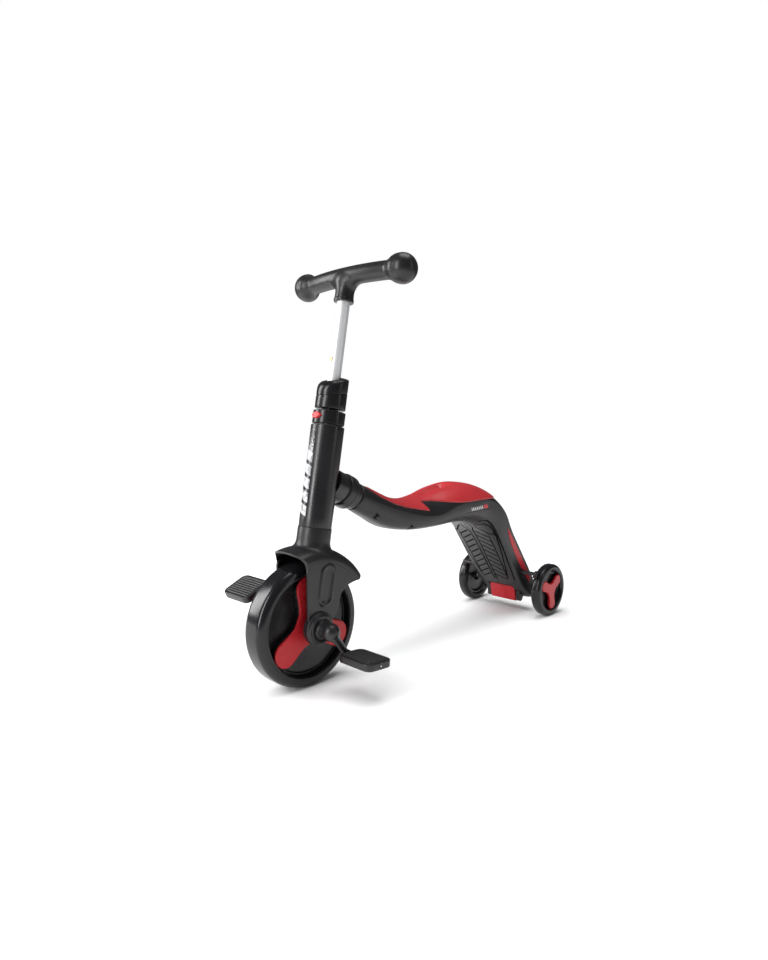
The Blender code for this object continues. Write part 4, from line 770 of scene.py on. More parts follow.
def guard_grid(rows=150):
    """Angle about the hub along the rows; outside then inside of the section round the columns."""
    outer, inner = guard_section(), guard_section(3.4)
    right = np.concatenate((outer, inner[::-1]))
    left = right[::-1] * (-1, 1)
    loop = np.concatenate((right, left))
    front, rear = 106.0, 35.3
    share = np.linspace(0, 1, rows)[:, None]
    half = np.abs(loop[:, 0])[None, :]
    start = front - 4.5 * (half / 41.2) ** 4
    angle = start + (rear - start) * share
    skirt = np.interp(angle, (rear, 39.5, 44.0), (110.6, 99.0, 97.0))
    radius = np.maximum(loop[:, 1][None, :] + 0 * angle, skirt)
    angle = np.radians(angle)
    return to_metres(np.stack((loop[:, 0][None, :] + 0 * angle, radius * np.cos(angle),
                               HUB_HEIGHT + radius * np.sin(angle)), axis=-1))


guard = guard_grid()
rows, columns = guard.shape[:2]
guard_faces = grid_faces(rows, columns, True, False).tolist()
for first in (0, (rows - 1) * columns):
    quarter = columns // 4
    for base in (0, 2 * quarter):
        j = np.arange(quarter - 1)
        cap = np.stack((first + base + j, first + base + j + 1, first + base + 2 * quarter - 2 - j,
                        first + base + 2 * quarter - 1 - j), axis=-1)
        guard_faces += cap.tolist()
guard_mesh = mesh_of("guard", guard, guard_faces)

leg = [(-22, 99, 0), (-22.5, 150, 3), (-22.5, 206, 10), (0, 212, 8), (22, 209, 8), (46, 199, 8), (72, 182, 5)]
leg += [(90.5, 166.4, 0.6), (76, 164.6, 8), (64.6, 161.8, 8), (54, 156, 6), (47.6, 147.8, 6), (42, 134, 6)]
leg += [(37, 119, 5)]
leg += [(27.5 * cos(a), HUB_HEIGHT + 27.5 * sin(a), 3) for a in np.radians(np.linspace(12, -180, 13))[:-1]]
parts = [guard_mesh]
for side in (1, -1):
    parts.append(slab_mesh("leg", leg, soft_edge(36.6, 41.4, 1.6), on_side(0, side)))
    origin = np.array((0, 17.5, 170.0))
    tilted = (origin, np.array(((0, sin(RAKE), cos(RAKE)), (0, cos(RAKE), -sin(RAKE)), (side, 0, 0))))
    tilted[0][0] = 0
    oblong = [(36, 17, 17), (36, -17, 17), (-36, -17, 17), (-36, 17, 17)]
    mould = [(0, 39), (0, 41.3), (0.6, 41.6), (1.8, 42.9), (2.8, 43.5), (4.8, 43.7), (6.0, 43.4), (7.2, 42.4),
             (8.2, 41.9), (9.4, 41.7), (9.4, 39)]
    parts.append(slab_mesh("oblong", oblong, mould, tilted, ring=True, crease=60))
    hub = on_side(0, side)
    hub = (np.array((0, 0, HUB_HEIGHT)), hub[1])
    boss = [(10.5, 33.8, 0), (27.0, 33.8, 0.4), (27.5, 42.0, 0), (27.5, 45.2, 1.6), (22.6, 46.4, 1.0)]
    boss += [(22.2, 51.6, 0.9), (17.0, 51.6, 0.4), (17.0, 44.0, 0.4), (10.5, 44.0, 0)]
    parts.append(turned("boss", boss, 140, hub, True))
    parts.append(turned("pin", [(0, 41.5, 0), (2.6, 41.5, 0), (2.6, 42.6, 0.5), (0, 42.9, 0)], 40,
                        (np.array((0, 12.2, 143.0)), hub[1])))
crown = [(14.3, 158.7, 0), (28.3, 158.7, 0.8), (28.5, 134, 5), (31.2, 126, 4), (38.0, 121.2, 4)]
crown += [(39.0, 113, 0), (14.3, 118, 0)]
parts.append(turned("crown", crown, 160, STEER, True))
piece("fork_moulding", joined("fork", parts), satin_black, "fork", "fork_mudguard", slot="black")

# %% [markdown]
# ## Cranks and pedals
#
# Each crank ends the hub in a black ball on a thick neck. A slender tapered arm runs from the ball to the
# pedal's eye. Pedals are thin blocks with rounded corners and a fine ribbed tread on both faces.

# %% Turn the cranks and lay the pedals
CRANK_ANGLE = radians(-53.0)
pedal_places = {}
for side, word in ((1, "left"), (-1, "right")):
    hub = (np.array((0, 0, HUB_HEIGHT)), on_side(0, side)[1])
    neck_line = [(6.2, 45.5, 0), (16.0, 45.5, 0), (16.0, 51.8, 0.6), (13.8, 52.4, 0.6), (13.2, 55.0, 1.0)]
    neck_line += [(12.6, 60.6, 1.0)]
    reach = np.linspace(-0.54, pi / 2, 30)
    neck_line += [(14.4 * cos(t), 70.1 + 14.4 * sin(t), 0) for t in reach[:-1]] + [(0, 84.5, 0)]
    neck_line += [(0, 66, 0), (6.2, 66, 0)]
    y, z = side * 53 * cos(CRANK_ANGLE), HUB_HEIGHT + side * 53 * sin(CRANK_ANGLE)
    along = axes_at((side * 70.1, 0, HUB_HEIGHT), (0, y, z - HUB_HEIGHT))
    arm = [(0, 4, 0), (9.4, 4, 0), (8.8, 13, 4), (7.2, 19, 4), (6.4, 26, 4), (5.9, 49, 0.5), (0, 49, 0)]
    eye = (np.array((0, y, z)), hub[1])
    eye_line = [(4.2, 64.3, 0), (7.2, 64.3, 1.2), (7.2, 75.6, 1.2), (4.2, 75.6, 0)]
    # The six notches on the boss ring are thin dark squares: painted shade where recesses would be.
    notches = []
    for k in range(6):
        turn = radians(60 * k + 12)
        place = (side * 51.75, 19.6 * cos(turn), HUB_HEIGHT + 19.6 * sin(turn))
        spot = axes_at(place, (side, 0, 0), (0, 1, 0))
        square = [(-1.3, -1.3, 0.4), (1.3, -1.3, 0.4), (1.3, 1.3, 0.4), (-1.3, 1.3, 0.4)]
        notches.append(slab_mesh("notch", square, soft_edge(-1.0, 0.1, 0.1, 2), spot, step=0.6))
    crank_mesh = joined("crank", [turned("a", neck_line, 96, hub, True), turned("b", arm, 48, along),
                                  turned("c", eye_line, 60, eye, True)])
    piece(f"crank_moulding_{word}", crank_mesh, satin_black, "front_wheel", f"crank_{word}", slot="black")
    piece(f"crank_notch_shade_{word}", joined("notches", notches), painted_shade_black, "fork", slot="black")
    pedal_places[word] = (side, y, z)


def pedal_tread(half_x, half_y, low, high, axes, ribs=9):
    """A thin plate whose top is a row of fine ribs, fading to flat at the rim."""
    x, y = np.meshgrid(np.linspace(-1, 1, 61), np.linspace(-1, 1, 261), indexing="ij")
    squeeze = 1 - 0.04 * (x * x * y * y)
    rib = 0.5 + 0.5 * np.cos(pi * ribs * y)
    rim = np.clip(np.minimum(1 - np.abs(x), 1 - np.abs(y)) * 18, 0, 1)
    top = high - 2.2 * (1 - rib**0.6) * rim - 0.7 * (1 - rim)
    grid = np.stack((half_x * x * squeeze, half_y * y * squeeze, top), axis=-1)
    skirt = grid.copy()
    skirt[..., 2] = low
    edge = np.concatenate((grid[:, 0], grid[-1, 1:], grid[-2::-1, -1], grid[0, -2:0:-1]))
    foot = edge.copy()
    foot[:, 2] = low
    wall = np.stack((edge, foot))
    top_mesh = mesh_of("top", placed(grid, axes), grid_faces(61, 261, False, False), outward=False)
    wall_mesh = mesh_of("wall", placed(wall, axes), grid_faces(2, len(edge), True, False), outward=False)
    return joined("tread", [top_mesh, wall_mesh])


for word, (side, y, z) in pedal_places.items():
    tilt = radians(-4.0) if side > 0 else radians(24.6)
    up = (0, -sin(tilt), cos(tilt))
    flat = axes_at((side * 113.2, y, z), up)
    box = [(36.2, 27, 12), (-36.2, 27, 12), (-36.2, -27, 12), (36.2, -27, 12)]
    body = slab_mesh("body", box, soft_edge(-6.0, 6.0, 1.8), flat)
    end = (np.array((0, y, z)), on_side(0, side)[1])
    cup_line = [(5.6, 148.9, 0), (5.6, 149.5, 0.2), (4.4, 149.5, 0.2), (4.4, 148.9, 0)]
    cup = turned("cup", cup_line, 48, end, True)
    nut = turned("nut", [(0, 149.0, 0), (1.5, 149.0, 0), (1.5, 149.5, 0.3), (0, 149.7, 0)], 36, end)
    piece(f"pedal_block_{word}", joined("pedal", [body, cup]), satin_black, f"pedal_{word}",
          f"pedal_body_{word}", slot="black")
    piece(f"pedal_end_{word}", nut, screw_steel, f"pedal_{word}", slot="steel")
    for face, where in ((1, "top"), (-1, "under")):
        lying = axes_at((side * 113.2, y, z), (0, face * up[1], face * up[2]))
        tread = pedal_tread(31.0, 22.4, 4.6, 7.0, lying)
        piece(f"pedal_ribs_{where}_{word}", tread, matt_black, f"pedal_{word}",
              f"pedal_tread_{where}_{word}", slot="rubber")

# %% [markdown]
# ## The S-shaped body
#
# The body is the seat, the spine and, turned over, the foot deck. It is drawn as a row of sections along a
# bent spine. Each section has a soft top, straight sides and a squarish underside, and every number that
# shapes it runs smoothly from station to station. The construction model uses slightly different numbers,
# so its own smooth surface lies up to about 3 mm away from this one.

# %% Stations and sections of the body
STATIONS = np.array((
    (114.4, 303.5, -26.0, 24.5, 24.5, 0.0, 24.5, 2.0, 0.0, 0.50, 2.0),
    (150.0, 289.0, -26.0, 29.0, 22.0, 1.0, 29.0, 2.3, 0.0, 0.60, 2.0),
    (195.0, 271.8, -19.0, 38.0, 21.0, 2.0, 34.0, 2.6, 0.0, 0.80, 2.0),
    (240.0, 260.6, -7.0, 48.0, 26.0, 0.0, 31.0, 3.0, 0.0, 0.95, 2.1),
    (290.0, 256.6, 3.0, 56.0, 35.5, 0.0, 27.5, 3.0, 0.0, 1.00, 2.2),
    (345.0, 257.6, 3.0, 60.0, 44.3, 13.0, 27.0, 3.2, 0.0, 1.00, 2.7),
    (400.0, 257.0, -8.0, 62.0, 49.0, 17.0, 27.0, 3.6, 2.0, 0.95, 2.9),
    (445.0, 243.0, -26.0, 62.0, 48.0, 27.0, 25.0, 4.2, 3.0, 0.80, 3.0),
    (478.0, 218.0, -44.0, 62.0, 41.5, 30.0, 22.0, 5.4, 3.2, 0.65, 4.0),
    (505.0, 187.0, -52.5, 61.5, 30.0, 24.0, 20.6, 7.5, 3.2, 0.58, 5.0),
    (550.0, 128.5, -52.5, 61.0, 28.5, 23.0, 20.4, 8.0, 3.4, 0.55, 6.0),
    (585.0, 83.0, -52.5, 61.0, 28.0, 22.0, 19.4, 8.0, 3.0, 0.55, 6.0),
    (606.0, 55.5, -52.5, 61.0, 26.5, 19.0, 17.0, 6.0, 0.0, 0.55, 6.0),
    (617.0, 41.2, -52.5, 61.0, 24.0, 11.0, 12.0, 5.0, 0.0, 0.55, 6.0),
    (623.5, 32.7, -52.5, 60.0, 19.0, 7.0, 6.0, 4.0, 0.0, 0.55, 5.0),
))


def between_stations(places):
    """The eleven driving numbers at places from 0 to 1 along the body, as a smooth cubic through them."""
    steps = np.hypot(*np.diff(STATIONS[:, :2], axis=0).T)
    along = np.concatenate(([0.0], np.cumsum(steps)))
    slopes = np.gradient(STATIONS, along, axis=0)
    at = np.asarray(places) * along[-1]
    left = np.clip(np.searchsorted(along, at, side="right") - 1, 0, len(along) - 2)
    gap = (along[left + 1] - along[left])[:, None]
    u = (at - along[left])[:, None] / gap
    rise, fall = slopes[left] * gap, slopes[left + 1] * gap
    return ((2 * u**3 - 3 * u**2 + 1) * STATIONS[left] + (u**3 - 2 * u**2 + u) * rise
            + (3 * u**2 - 2 * u**3) * STATIONS[left + 1] + (u**3 - u**2) * fall)


def even(line, count):
    """The same line for every row, with count points at equal steps of its length."""
    steps = np.linalg.norm(np.diff(line, axis=1), axis=2)
    along = np.concatenate((np.zeros((len(line), 1)), np.cumsum(steps, axis=1)), axis=1)
    share = np.linspace(0, 1, count)
    out = np.empty((len(line), count, 2))
    for row in range(len(line)):
        for k in (0, 1):
            out[row, :, k] = np.interp(share * along[row, -1], along[row], line[row, :, k])
    return out


def body_half(places, top_count, under_count):
    """Left half of the body: rows along it, columns from the top centre round the side to the underside."""
    driving = between_stations(places)
    y, z, slope, wide, over, level, under, square, crown, round_a, round_b = driving.T[:, :, None]
    share = np.sin(np.linspace(0, pi / 2, 500))[None, :]
    top = np.stack((wide * share, level + (over - level) * (1 - share**round_b) ** round_a), axis=-1)
    turn = np.linspace(0, pi / 2, 700)[None, :]
    c, s = np.cos(turn), np.sin(turn)
    reach = (c**square + s**square) ** (-1 / square)
    low_x = wide * c * reach
    low_h = level - (level + under) * s * reach - crown * (1 - (c * reach) ** 2)
    low = np.stack((low_x, low_h), axis=-1)
    section = np.concatenate((even(top, top_count)[:, :-1], even(low, under_count)), axis=1)
    x, h = section[..., 0], section[..., 1]
    lean = np.radians(slope)
    return np.stack((x, y - h * np.sin(lean), z + h * np.cos(lean)), axis=-1)


def surface_normals(grid):
    """Unit normals from the differences along and across the grid, pointing away from the spine."""
    along = np.gradient(grid, axis=0)
    across = np.gradient(grid, axis=1)
    across[:, 0] = (1, 0, 0)
    across[:, -1] = (-1, 0, 0)
    out = np.cross(across, along)
    out /= np.maximum(np.linalg.norm(out, axis=2, keepdims=True), 1e-9)
    middle = grid.mean(axis=1, keepdims=True) * (0, 1, 1)
    sign = np.sign(np.sum(np.sum(out * (grid - middle), axis=2)))
    return out * sign


def uneven(count, coarse, fine, zones):
    """Places along the body, close together where the spine's y lies in a zone and wide apart elsewhere."""
    share = np.linspace(0, 1, 4000)
    spine = between_stations(share)[:, 0]
    close = np.zeros(share.shape, bool)
    for low, high in zones:
        close |= (spine > low) & (spine < high)
    crowd = np.cumsum(np.where(close, 1 / fine, 1 / coarse))
    return np.interp(np.linspace(crowd[0], crowd[-1], count), crowd, share)


places = uneven(310, 4.6, 1.0, ((145, 157), (221, 233), (318, 378), (440, 585)))
half = body_half(places, 38, 124)
normals = surface_normals(half)
print("body rows and columns:", half.shape[:2])


# %% [markdown]
# The saddle, the side trims and the two label places are panels that follow the same surface. Each panel
# is the part of the surface whose side view lies inside an outline. Points beside the outline are moved
# onto it, and the panel's height falls away at its rim in a quarter circle, like a moulded edge.

# %% Panels cut from the same surface
SADDLE_EDGE = (
    (131, 345), (141, 317), (150, 307), (162, 299), (193, 283.5), (220, 275), (248, 269), (272, 264.5),
    (265.5, 281.5), (288, 281), (319, 277), (350, 274), (383, 273.5), (417, 274), (470, 272.5), (488, 281),
    (510, 320), (400, 380), (131, 380),
)
LABEL_EDGE = ((364, 251.5), (440, 255.0), (444, 258.5), (446, 264.0), (443, 266.5), (366, 263.5))
TRIM_EDGE = ((509, 206), (518, 197.5), (547, 160.5), (576.5, 122), (603, 89.5), (607, 81), (605, 73),
             (599, 72), (577, 97.4), (549, 132.4), (524.5, 168.0), (513.5, 190.0))


def depth_inside(grid, outline):
    """Distance inside a side-view outline in millimetres, negative outside it."""
    y, z = grid[..., 1], grid[..., 2]
    best = np.full(y.shape, 1e9)
    inside = np.zeros(y.shape, bool)
    for (y0, z0), (y1, z1) in zip(outline, np.roll(outline, -1, axis=0)):
        run, climb = y1 - y0, z1 - z0
        t = np.clip(((y - y0) * run + (z - z0) * climb) / (run**2 + climb**2), 0, 1)
        best = np.minimum(best, np.hypot(y - y0 - t * run, z - z0 - t * climb))
        crosses = ((z0 > z) != (z1 > z)) & (y < y0 + run * (z - z0) / (climb if climb else 1e-9))
        inside ^= crosses
    return np.where(inside, best, -best)


def panel_mesh(name, grid, normal, outline, proud, radius, sunk=0.8, soften=1.5):
    """The grid's faces inside the outline, raised by proud with a rim rounded over radius."""
    corners = rounded([(*p, soften) for p in outline], closed=True, count=6)
    field = depth_inside(grid, corners)
    kept = field.copy()
    moved = grid.copy()
    for axis in (0, 1):
        for step in (1, -1):
            near = np.roll(kept, step, axis=axis)
            other = np.roll(grid, step, axis=axis)
            share = field / np.where(np.abs(field - near) < 1e-9, 1e-9, field - near)
            cross = (field * near < 0) & (share > 0) & (share <= 0.5) & (kept == field)
            edge = [slice(None), slice(None)]
            edge[axis] = 0 if step == 1 else -1
            cross[tuple(edge)] = False
            moved = np.where(cross[..., None], grid + (other - grid) * share[..., None], moved)
            field = np.where(cross, 0.0, field)
            kept = np.where(cross, 0.0, kept)
    rim = np.clip(field / radius, 0, 1)
    rise = -sunk + (proud + sunk) * np.sqrt(1 - (1 - rim) ** 2)
    points = moved + normal * rise[..., None]
    rows, columns = grid.shape[:2]
    flat = field.reshape(-1)
    quads = grid_faces(rows, columns, False, False)
    value = flat[quads]
    whole = quads[(value >= 0).all(axis=1)]
    three = quads[(value >= 0).sum(axis=1) == 3]
    lone = (flat[three] < 0).argmax(axis=1)
    order = (lone[:, None] + np.array((1, 2, 3))) % 4
    corners3 = np.take_along_axis(three, order, axis=1)
    faces = whole.tolist() + corners3.tolist()
    used = np.unique(np.concatenate([np.ravel(whole), np.ravel(corners3)]))
    index = np.full(rows * columns, -1)
    index[used] = np.arange(len(used))
    faces = [[int(index[v]) for v in face] for face in faces]
    sheet = to_metres(points.reshape(-1, 3)[used])
    return mesh_of(name, sheet, faces, crease=75.0, outward=False)


def mirror_mesh(mesh, name):
    """A copy reflected across the middle plane, with its faces turned round again."""
    other = mesh.copy()
    other.name = name
    other.transform(Matrix.Scale(-1, 4, Vector((1, 0, 0))))
    other.flip_normals()
    return other


def thicken(obj, thickness):
    """Closes an open sheet by giving it a back, inwards."""
    solid = obj.modifiers.new("thickness", "SOLIDIFY")
    solid.thickness = thickness * MM
    solid.offset = -1.0
    return obj


# %% [markdown]
# The deck's tread stands in two rails with short diagonal bars between them, like a ladder seen from
# below, so that a foot grips it. The grooves between them are a depth field over the deck: for each place,
# the distance to the nearest groove's middle line sets how deep it is. The depth is also kept on the mesh,
# where the body's finish reads it and paints shade into the grooves.

# %% Press the tread grooves and screw holes into the body
DECK = (np.array((534.5, 119.9)), radians(52.5))


def deck_place(grid):
    """Down the deck and inwards from it, for each point."""
    y, z = grid[..., 1] - DECK[0][0], grid[..., 2] - DECK[0][1]
    c, s = cos(DECK[1]), sin(DECK[1])
    return y * c - z * s, y * s + z * c


def groove_depth(x, down, lines, width, deep):
    """The deepest of a set of straight grooves with round bottoms."""
    depth = np.zeros(x.shape)
    for (x0, d0), (x1, d1) in lines:
        run, fall = x1 - x0, d1 - d0
        t = np.clip(((x - x0) * run + (down - d0) * fall) / (run**2 + fall**2), 0, 1)
        away = np.hypot(x - x0 - t * run, down - d0 - t * fall) / (width / 2)
        depth = np.maximum(depth, deep * np.clip(1.6 * (1 - away**2), 0, 1))
    return depth


def chain(points):
    return list(zip(points[:-1], points[1:]))


down, inward = deck_place(half)
x = half[..., 0]
diagonals = [((9.5 - 0.25 * k, -106 + 15.6 * k), (34.5 - 0.35 * k, -90 + 15.4 * k)) for k in range(10)]
lines = diagonals + chain(((25, -134), (36, -137), (48, -137), (53, -123), (53, -107), (52, -93)))
lines += chain(((20, -125), (34, -110), (42, -99), (50, -97)))
lines += chain(((54.5, -110), (54.7, -95), (48, -35), (35.5, 39)))
lines += chain(((12, -135), (12, -120), (5.0, -106), (3.6, 50)))
lines += chain(((38.5, -92), (34.5, 46)))
border = chain(((14, -146), (30, -149), (51, -149), (55.5, -143), (56.4, -127), (56.2, -76), (54.6, -38),
                (52, 5), (49, 47)))


def seat_dip(grid):
    """The long channel down the middle of the seat, with a short row of teeth near its back end."""
    across, back = np.abs(grid[..., 0]), grid[..., 1]
    channel = np.clip((back - 258) / 60, 0, 1) * np.clip((382 - back) / 20, 0, 1)
    channel = channel**2 * (3 - 2 * channel)
    teeth = 0.9 * np.clip(np.cos((back - 330) * 2 * pi / 5.2), 0, 1) * ((back > 322) & (back < 362))
    return channel * (11.0 - teeth) * np.exp(-((across / 14.5) ** 3.4)) * (grid[..., 2] > 262)


facing = (normals[..., 1] * sin(DECK[1]) + normals[..., 2] * cos(DECK[1])) < -0.35
pressed = np.maximum(groove_depth(x, down, lines, 2.7, 2.2), groove_depth(x, down, border, 2.3, 1.9))
pressed *= facing & (inward < 12) & (down < 62)
shape = half - normals * (pressed + seat_dip(half))[..., None]
label_corners = rounded([(*p, 1.5) for p in LABEL_EDGE], closed=True)
recess = np.clip(depth_inside(half, label_corners) / 0.7, 0, 1) * 0.7
recess *= (normals[..., 0] > 0.5)
shape -= normals * recess[..., None]
for hole_y, hole_z in ((151.1, 264.8), (226.9, 238.9), (372.8, 240.2)):
    away = np.hypot(half[..., 1] - hole_y, half[..., 2] - hole_z)
    depth = 5.0 * np.clip((4.2 - away) / 0.9, 0, 1) * (normals[..., 0] > 0.4)
    shape[..., 0] -= depth
    print("screw recess points:", int((depth > 0).sum()))
edge = np.clip((0.9 - np.abs(half[..., 0])) / 0.9, 0, 1)
shape[..., 0] = np.maximum(shape[..., 0], 0.15)
shape -= normals * (0.5 * edge**2)[..., None]
opening = (down > 73.0) & (np.abs(x) < 33.4) & facing & (inward < 20)
rows, columns = half.shape[:2]
quads = grid_faces(rows, columns, False, False)
quads = quads[~opening.reshape(-1)[quads].all(axis=1)]
shell = mesh_of("shell", to_metres(shape), quads, outward=False)
groove = shell.attributes.new("groove", "FLOAT", "POINT")
groove.data.foreach_set("value", pressed.ravel())
left_shell = piece("body_half_left", shell, groove_shaded_black, "rear_body", "body_shell_left", slot="black")
right_shell = piece("body_half_right", mirror_mesh(shell, "shell_right"), groove_shaded_black, "rear_body",
                    "body_shell_right", slot="black")
for made in (left_shell, right_shell):
    thicken(made, 2.5)

# %% Lay the saddle, the trims and the label places
half = body_half(np.linspace(0.0, 0.68, 270), 60, 110)[:, :92]
normals = surface_normals(half)
around = np.concatenate((half[:, ::-1] * (-1, 1, 1), half[:, 1:]), axis=1)
around_normal = np.concatenate((normals[:, ::-1] * (-1, 1, 1), normals[:, 1:]), axis=1)
dipped = around - around_normal * seat_dip(around)[..., None]
saddle = panel_mesh("saddle", dipped, around_normal, SADDLE_EDGE, 2.0, 2.4)
thicken(piece("saddle_skin", saddle, saddle_red, "rear_body", "saddle", slot="red"), 1.2)
half = body_half(np.linspace(0.4, 1.0, 500), 60, 130)
normals = surface_normals(half)
side_part = (slice(0, 500), slice(30, 160))
for outline, proud, radius, name, finish, cad, colour in (
        (TRIM_EDGE, 1.0, 1.4, "trim", spoke_red, "side_trim", "red"),
        (LABEL_EDGE, -0.35, 0.3, "label", label_black, "label_plate", "silver")):
    part = panel_mesh(name, half[side_part], normals[side_part], outline, proud, radius, sunk=0.9)
    for word, mesh in (("left", part), ("right", mirror_mesh(part, name + "_right"))):
        thicken(piece(f"{name}_skin_{word}", mesh, finish, "rear_body", f"{cad}_{word}", slot=colour), 0.8)

# %% [markdown]
# ## Brake pedal
#
# The brake is a red foot plate across the deck's foot. Pressing it swings a lever, and the shoes at its two
# ends come close to the rear tyres. Plate, cheeks and lever are drawn seen from the side: down the deck's
# slope, and inwards from the deck's edge line. The shoes are arcs about the rear axle.

# %% Brake plate, its two cheeks and the lever
def on_deck(outline):
    """Corners (y, z, rounding) from corners given down the deck's slope and inwards from its edge line."""
    c, s = cos(DECK[1]), sin(DECK[1])
    return [(DECK[0][0] + d * c + i * s, DECK[0][1] - d * s + i * c, e) for d, i, e in outline]


plate = [(76.0, 3.0, 1.5), (111.0, -12.8, 1.5), (114.5, -11.0, 1.5), (116.0, -6.0, 2), (99.0, 8.2, 2)]
plate += [(76.6, 8.2, 1)]
plate_mesh = slab_mesh("plate", on_deck(plate), soft_edge(-32.5, 32.5, 1.6), on_side(0, 1), step=0.8)
piece("brake_plate", plate_mesh, spoke_red, "brake", "brake_pedal", slot="red")
cheek = [(88.0, 1.6, 1), (110.0, -11.2, 1.5), (114.0, -9.6, 1.5), (116.0, -4.6, 2), (112.0, 5.5, 1)]
cheek += [(96, 5.5, 1)]
for side, word in ((1, "left"), (-1, "right")):
    cheek_mesh = slab_mesh("cheek", on_deck(cheek), soft_edge(33.7, 44.0, 1.0), on_side(0, side), step=0.8)
    piece(f"brake_cheek_{word}", cheek_mesh, satin_black, "rear_body", slot="black")
bar_y, bar_z = on_deck([(38.2, 16.3, 0)])[0][:2]
lever = [(33.6, 14.0, 1), (38.0, 11.6, 1), (70.0, 11.5, 4), (77.0, 8.6, 2), (98.5, 8.6, 1), (98.5, 12.0, 1)]
lever += [(88.0, 15.0, 2), (64.0, 17.5, 5), (58.0, 34.0, 3), (52.0, 38.0, 2), (47.0, 35.5, 2)]
lever += [(34.4, 20.0, 2)]
cross_bar = [(0, -99, 0), (4, -99, 0.8), (4, 99, 0.8), (0, 99, 0)]
lever_parts = [slab_mesh("arm", on_deck(lever), soft_edge(-14.0, 14.0, 0.8), on_side(0, 1), step=0.8),
               turned("bar", cross_bar, 48, (np.array((0, bar_y, bar_z)), on_side(0, 1)[1]))]
SHOE_FACE, SHOE_BACK = 59.4, 63.6
towards = np.degrees(np.arctan2(bar_z - REAR_HEIGHT, bar_y - WHEELBASE))
for side in (1, -1):
    turn = np.radians(np.linspace(towards - 8, towards + 8, 9))
    shoe = [(WHEELBASE + r * cos(t), REAR_HEIGHT + r * sin(t), 0.3)
            for r, angles in ((SHOE_FACE, turn), (SHOE_BACK, turn[::-1])) for t in angles]
    lever_parts.append(slab_mesh("shoe", shoe, soft_edge(90.2, 99.6, 0.6), on_side(0, side), step=0.8))
piece("brake_lever_moulding", joined("lever", lever_parts), satin_black, "brake", "brake_lever", slot="black")
piece("head_moulding", sleeve_mesh, sleeve_black, "head", "head_sleeve", slot="black")

# %% [markdown]
# ## Small parts, camera and light
#
# Axles, bushes, screws and springs keep their construction shapes and get the same kinds of finish. The
# camera stands where the photograph was taken from, in front of the scooter and to its left. Soft lights
# stand in front, above and at both sides, beside a wide and even daylight.

# %% Finish the construction pieces that stay
KEPT = (
    ("shell_screw", satin_black), ("steerer", satin_black), ("tyre", tyre_black), ("tread", matt_black),
    ("bush", bush_nylon), ("stem_screw", screw_brass), ("axle", screw_steel), ("spindle", screw_steel),
    ("pin", screw_steel), ("spring", screw_steel), ("tube", screw_steel), ("flange", screw_steel),
    ("screw", screw_steel),
)


def kept_finish(node):
    """The finish that goes with the first of the words above that the piece's name holds."""
    return next((finish for word, finish in KEPT if word in node), satin_black)


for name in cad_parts:
    for slot in bpy.data.objects[name].material_slots:
        slot.material = kept_finish(name)
print("construction pieces finished:", len(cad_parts))

# %% Floor, backdrop, lights and camera
floor_finish = bpy.data.materials.new("pale_floor")
floor_finish.use_nodes = True
floor_shader = floor_finish.node_tree.nodes["Principled BSDF"]
floor_shader.inputs["Base Color"].default_value = (0.97, 0.97, 0.97, 1)
floor_shader.inputs["Roughness"].default_value = 0.9
floor_mesh = bpy.data.meshes.new("floor")
floor_mesh.from_pydata([(-2, -2, 0), (2, -2, 0), (2, 2, 0), (-2, 2, 0)], [], [(0, 1, 2, 3)])
floor_mesh.materials.append(floor_finish)
floor = bpy.data.objects.new("floor", floor_mesh)
bpy.context.scene.collection.objects.link(floor)

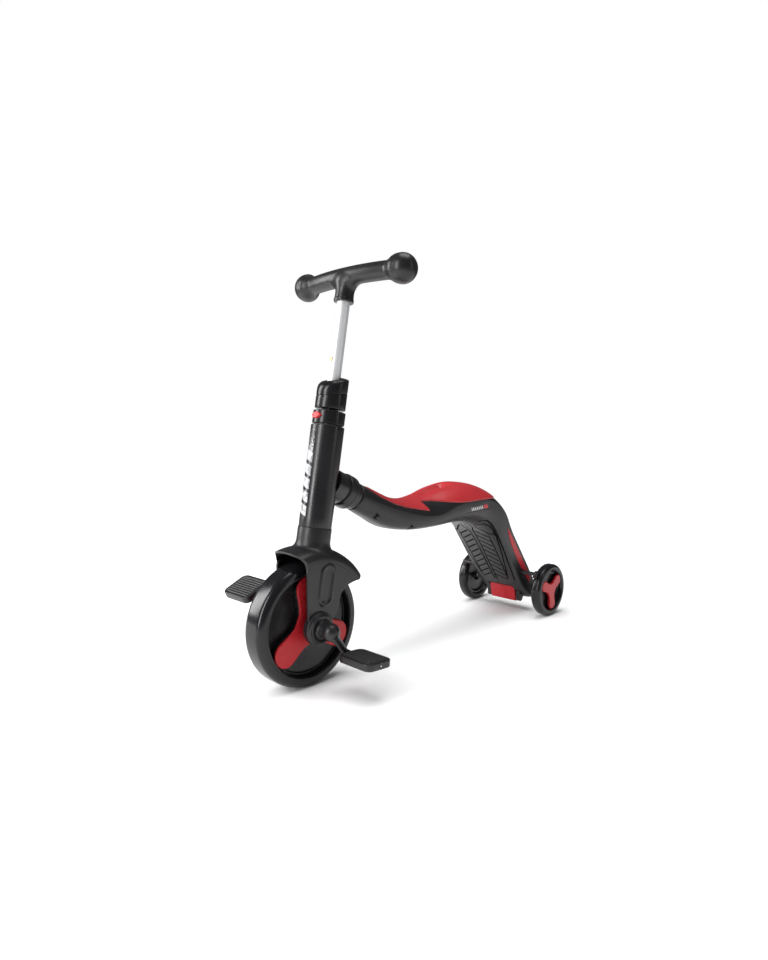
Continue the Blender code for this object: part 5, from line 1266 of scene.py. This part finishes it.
world = bpy.data.worlds.new("soft_room")
bpy.context.scene.world = world
world.use_nodes = True
tree = world.node_tree
tree.nodes.clear()
seen = tree.nodes.new("ShaderNodeBackground")
seen.inputs["Color"].default_value = (1, 1, 1, 1)
seen.inputs["Strength"].default_value = 1.0
fill = tree.nodes.new("ShaderNodeBackground")
fill.inputs["Color"].default_value = (0.93, 0.96, 1.0, 1)
fill.inputs["Strength"].default_value = 0.13
path = tree.nodes.new("ShaderNodeLightPath")
choose = tree.nodes.new("ShaderNodeMixShader")
out = tree.nodes.new("ShaderNodeOutputWorld")
tree.links.new(path.outputs["Is Camera Ray"], choose.inputs[0])
tree.links.new(fill.outputs[0], choose.inputs[1])
tree.links.new(seen.outputs[0], choose.inputs[2])
tree.links.new(choose.outputs[0], out.inputs["Surface"])


def soft_light(name, place, target, wide, watts, tall):
    """A large oblong light aimed at a point."""
    lamp = bpy.data.lights.new(name, "AREA")
    lamp.shape = "RECTANGLE"
    lamp.energy = watts
    lamp.size = wide
    lamp.size_y = tall
    made = bpy.data.objects.new(name, lamp)
    bpy.context.scene.collection.objects.link(made)
    made.location = place
    made.rotation_euler = (Vector(target) - Vector(place)).to_track_quat("-Z", "Y").to_euler()
    return made


sky = bpy.data.lights.new("daylight", "SUN")
sky.energy = 2.65
sky.angle = radians(70)
daylight = bpy.data.objects.new("daylight", sky)
bpy.context.scene.collection.objects.link(daylight)
daylight.rotation_euler = (radians(14), radians(-10), 0)
daylight.visible_glossy = False
lights = [daylight, soft_light("front", (-0.1, -2.6, 1.2), (0, 0, 0.3), 0.5, 48, 2.2),
          soft_light("right", (2.5, 0.9, 1.2), (0, 0, 0.3), 0.2, 5, 2.2),
          soft_light("above", (0.2, 0.2, 2.5), (0, 0, 0.3), 1.3, 17, 1.3),
          soft_light("left", (-2.05, -1.6, 1.25), (0, 0, 0.4), 0.7, 42, 1.7)]

lens = bpy.data.cameras.new("view")
camera = bpy.data.objects.new("view", lens)
bpy.context.scene.collection.objects.link(camera)
camera.location = (0.8211, -0.9475, 0.4408)
camera.rotation_euler = (radians(84.4589), 0, radians(43.8825))
lens.sensor_fit = "HORIZONTAL"
lens.sensor_width = 36
lens.lens = 30.469
bpy.context.scene.camera = camera
bpy.context.scene.view_settings.view_transform = "Standard"

# %% [markdown]
# Last, the number of finished pieces is printed.

# %% Count the finished pieces
print("finished pieces:", len(MADE))
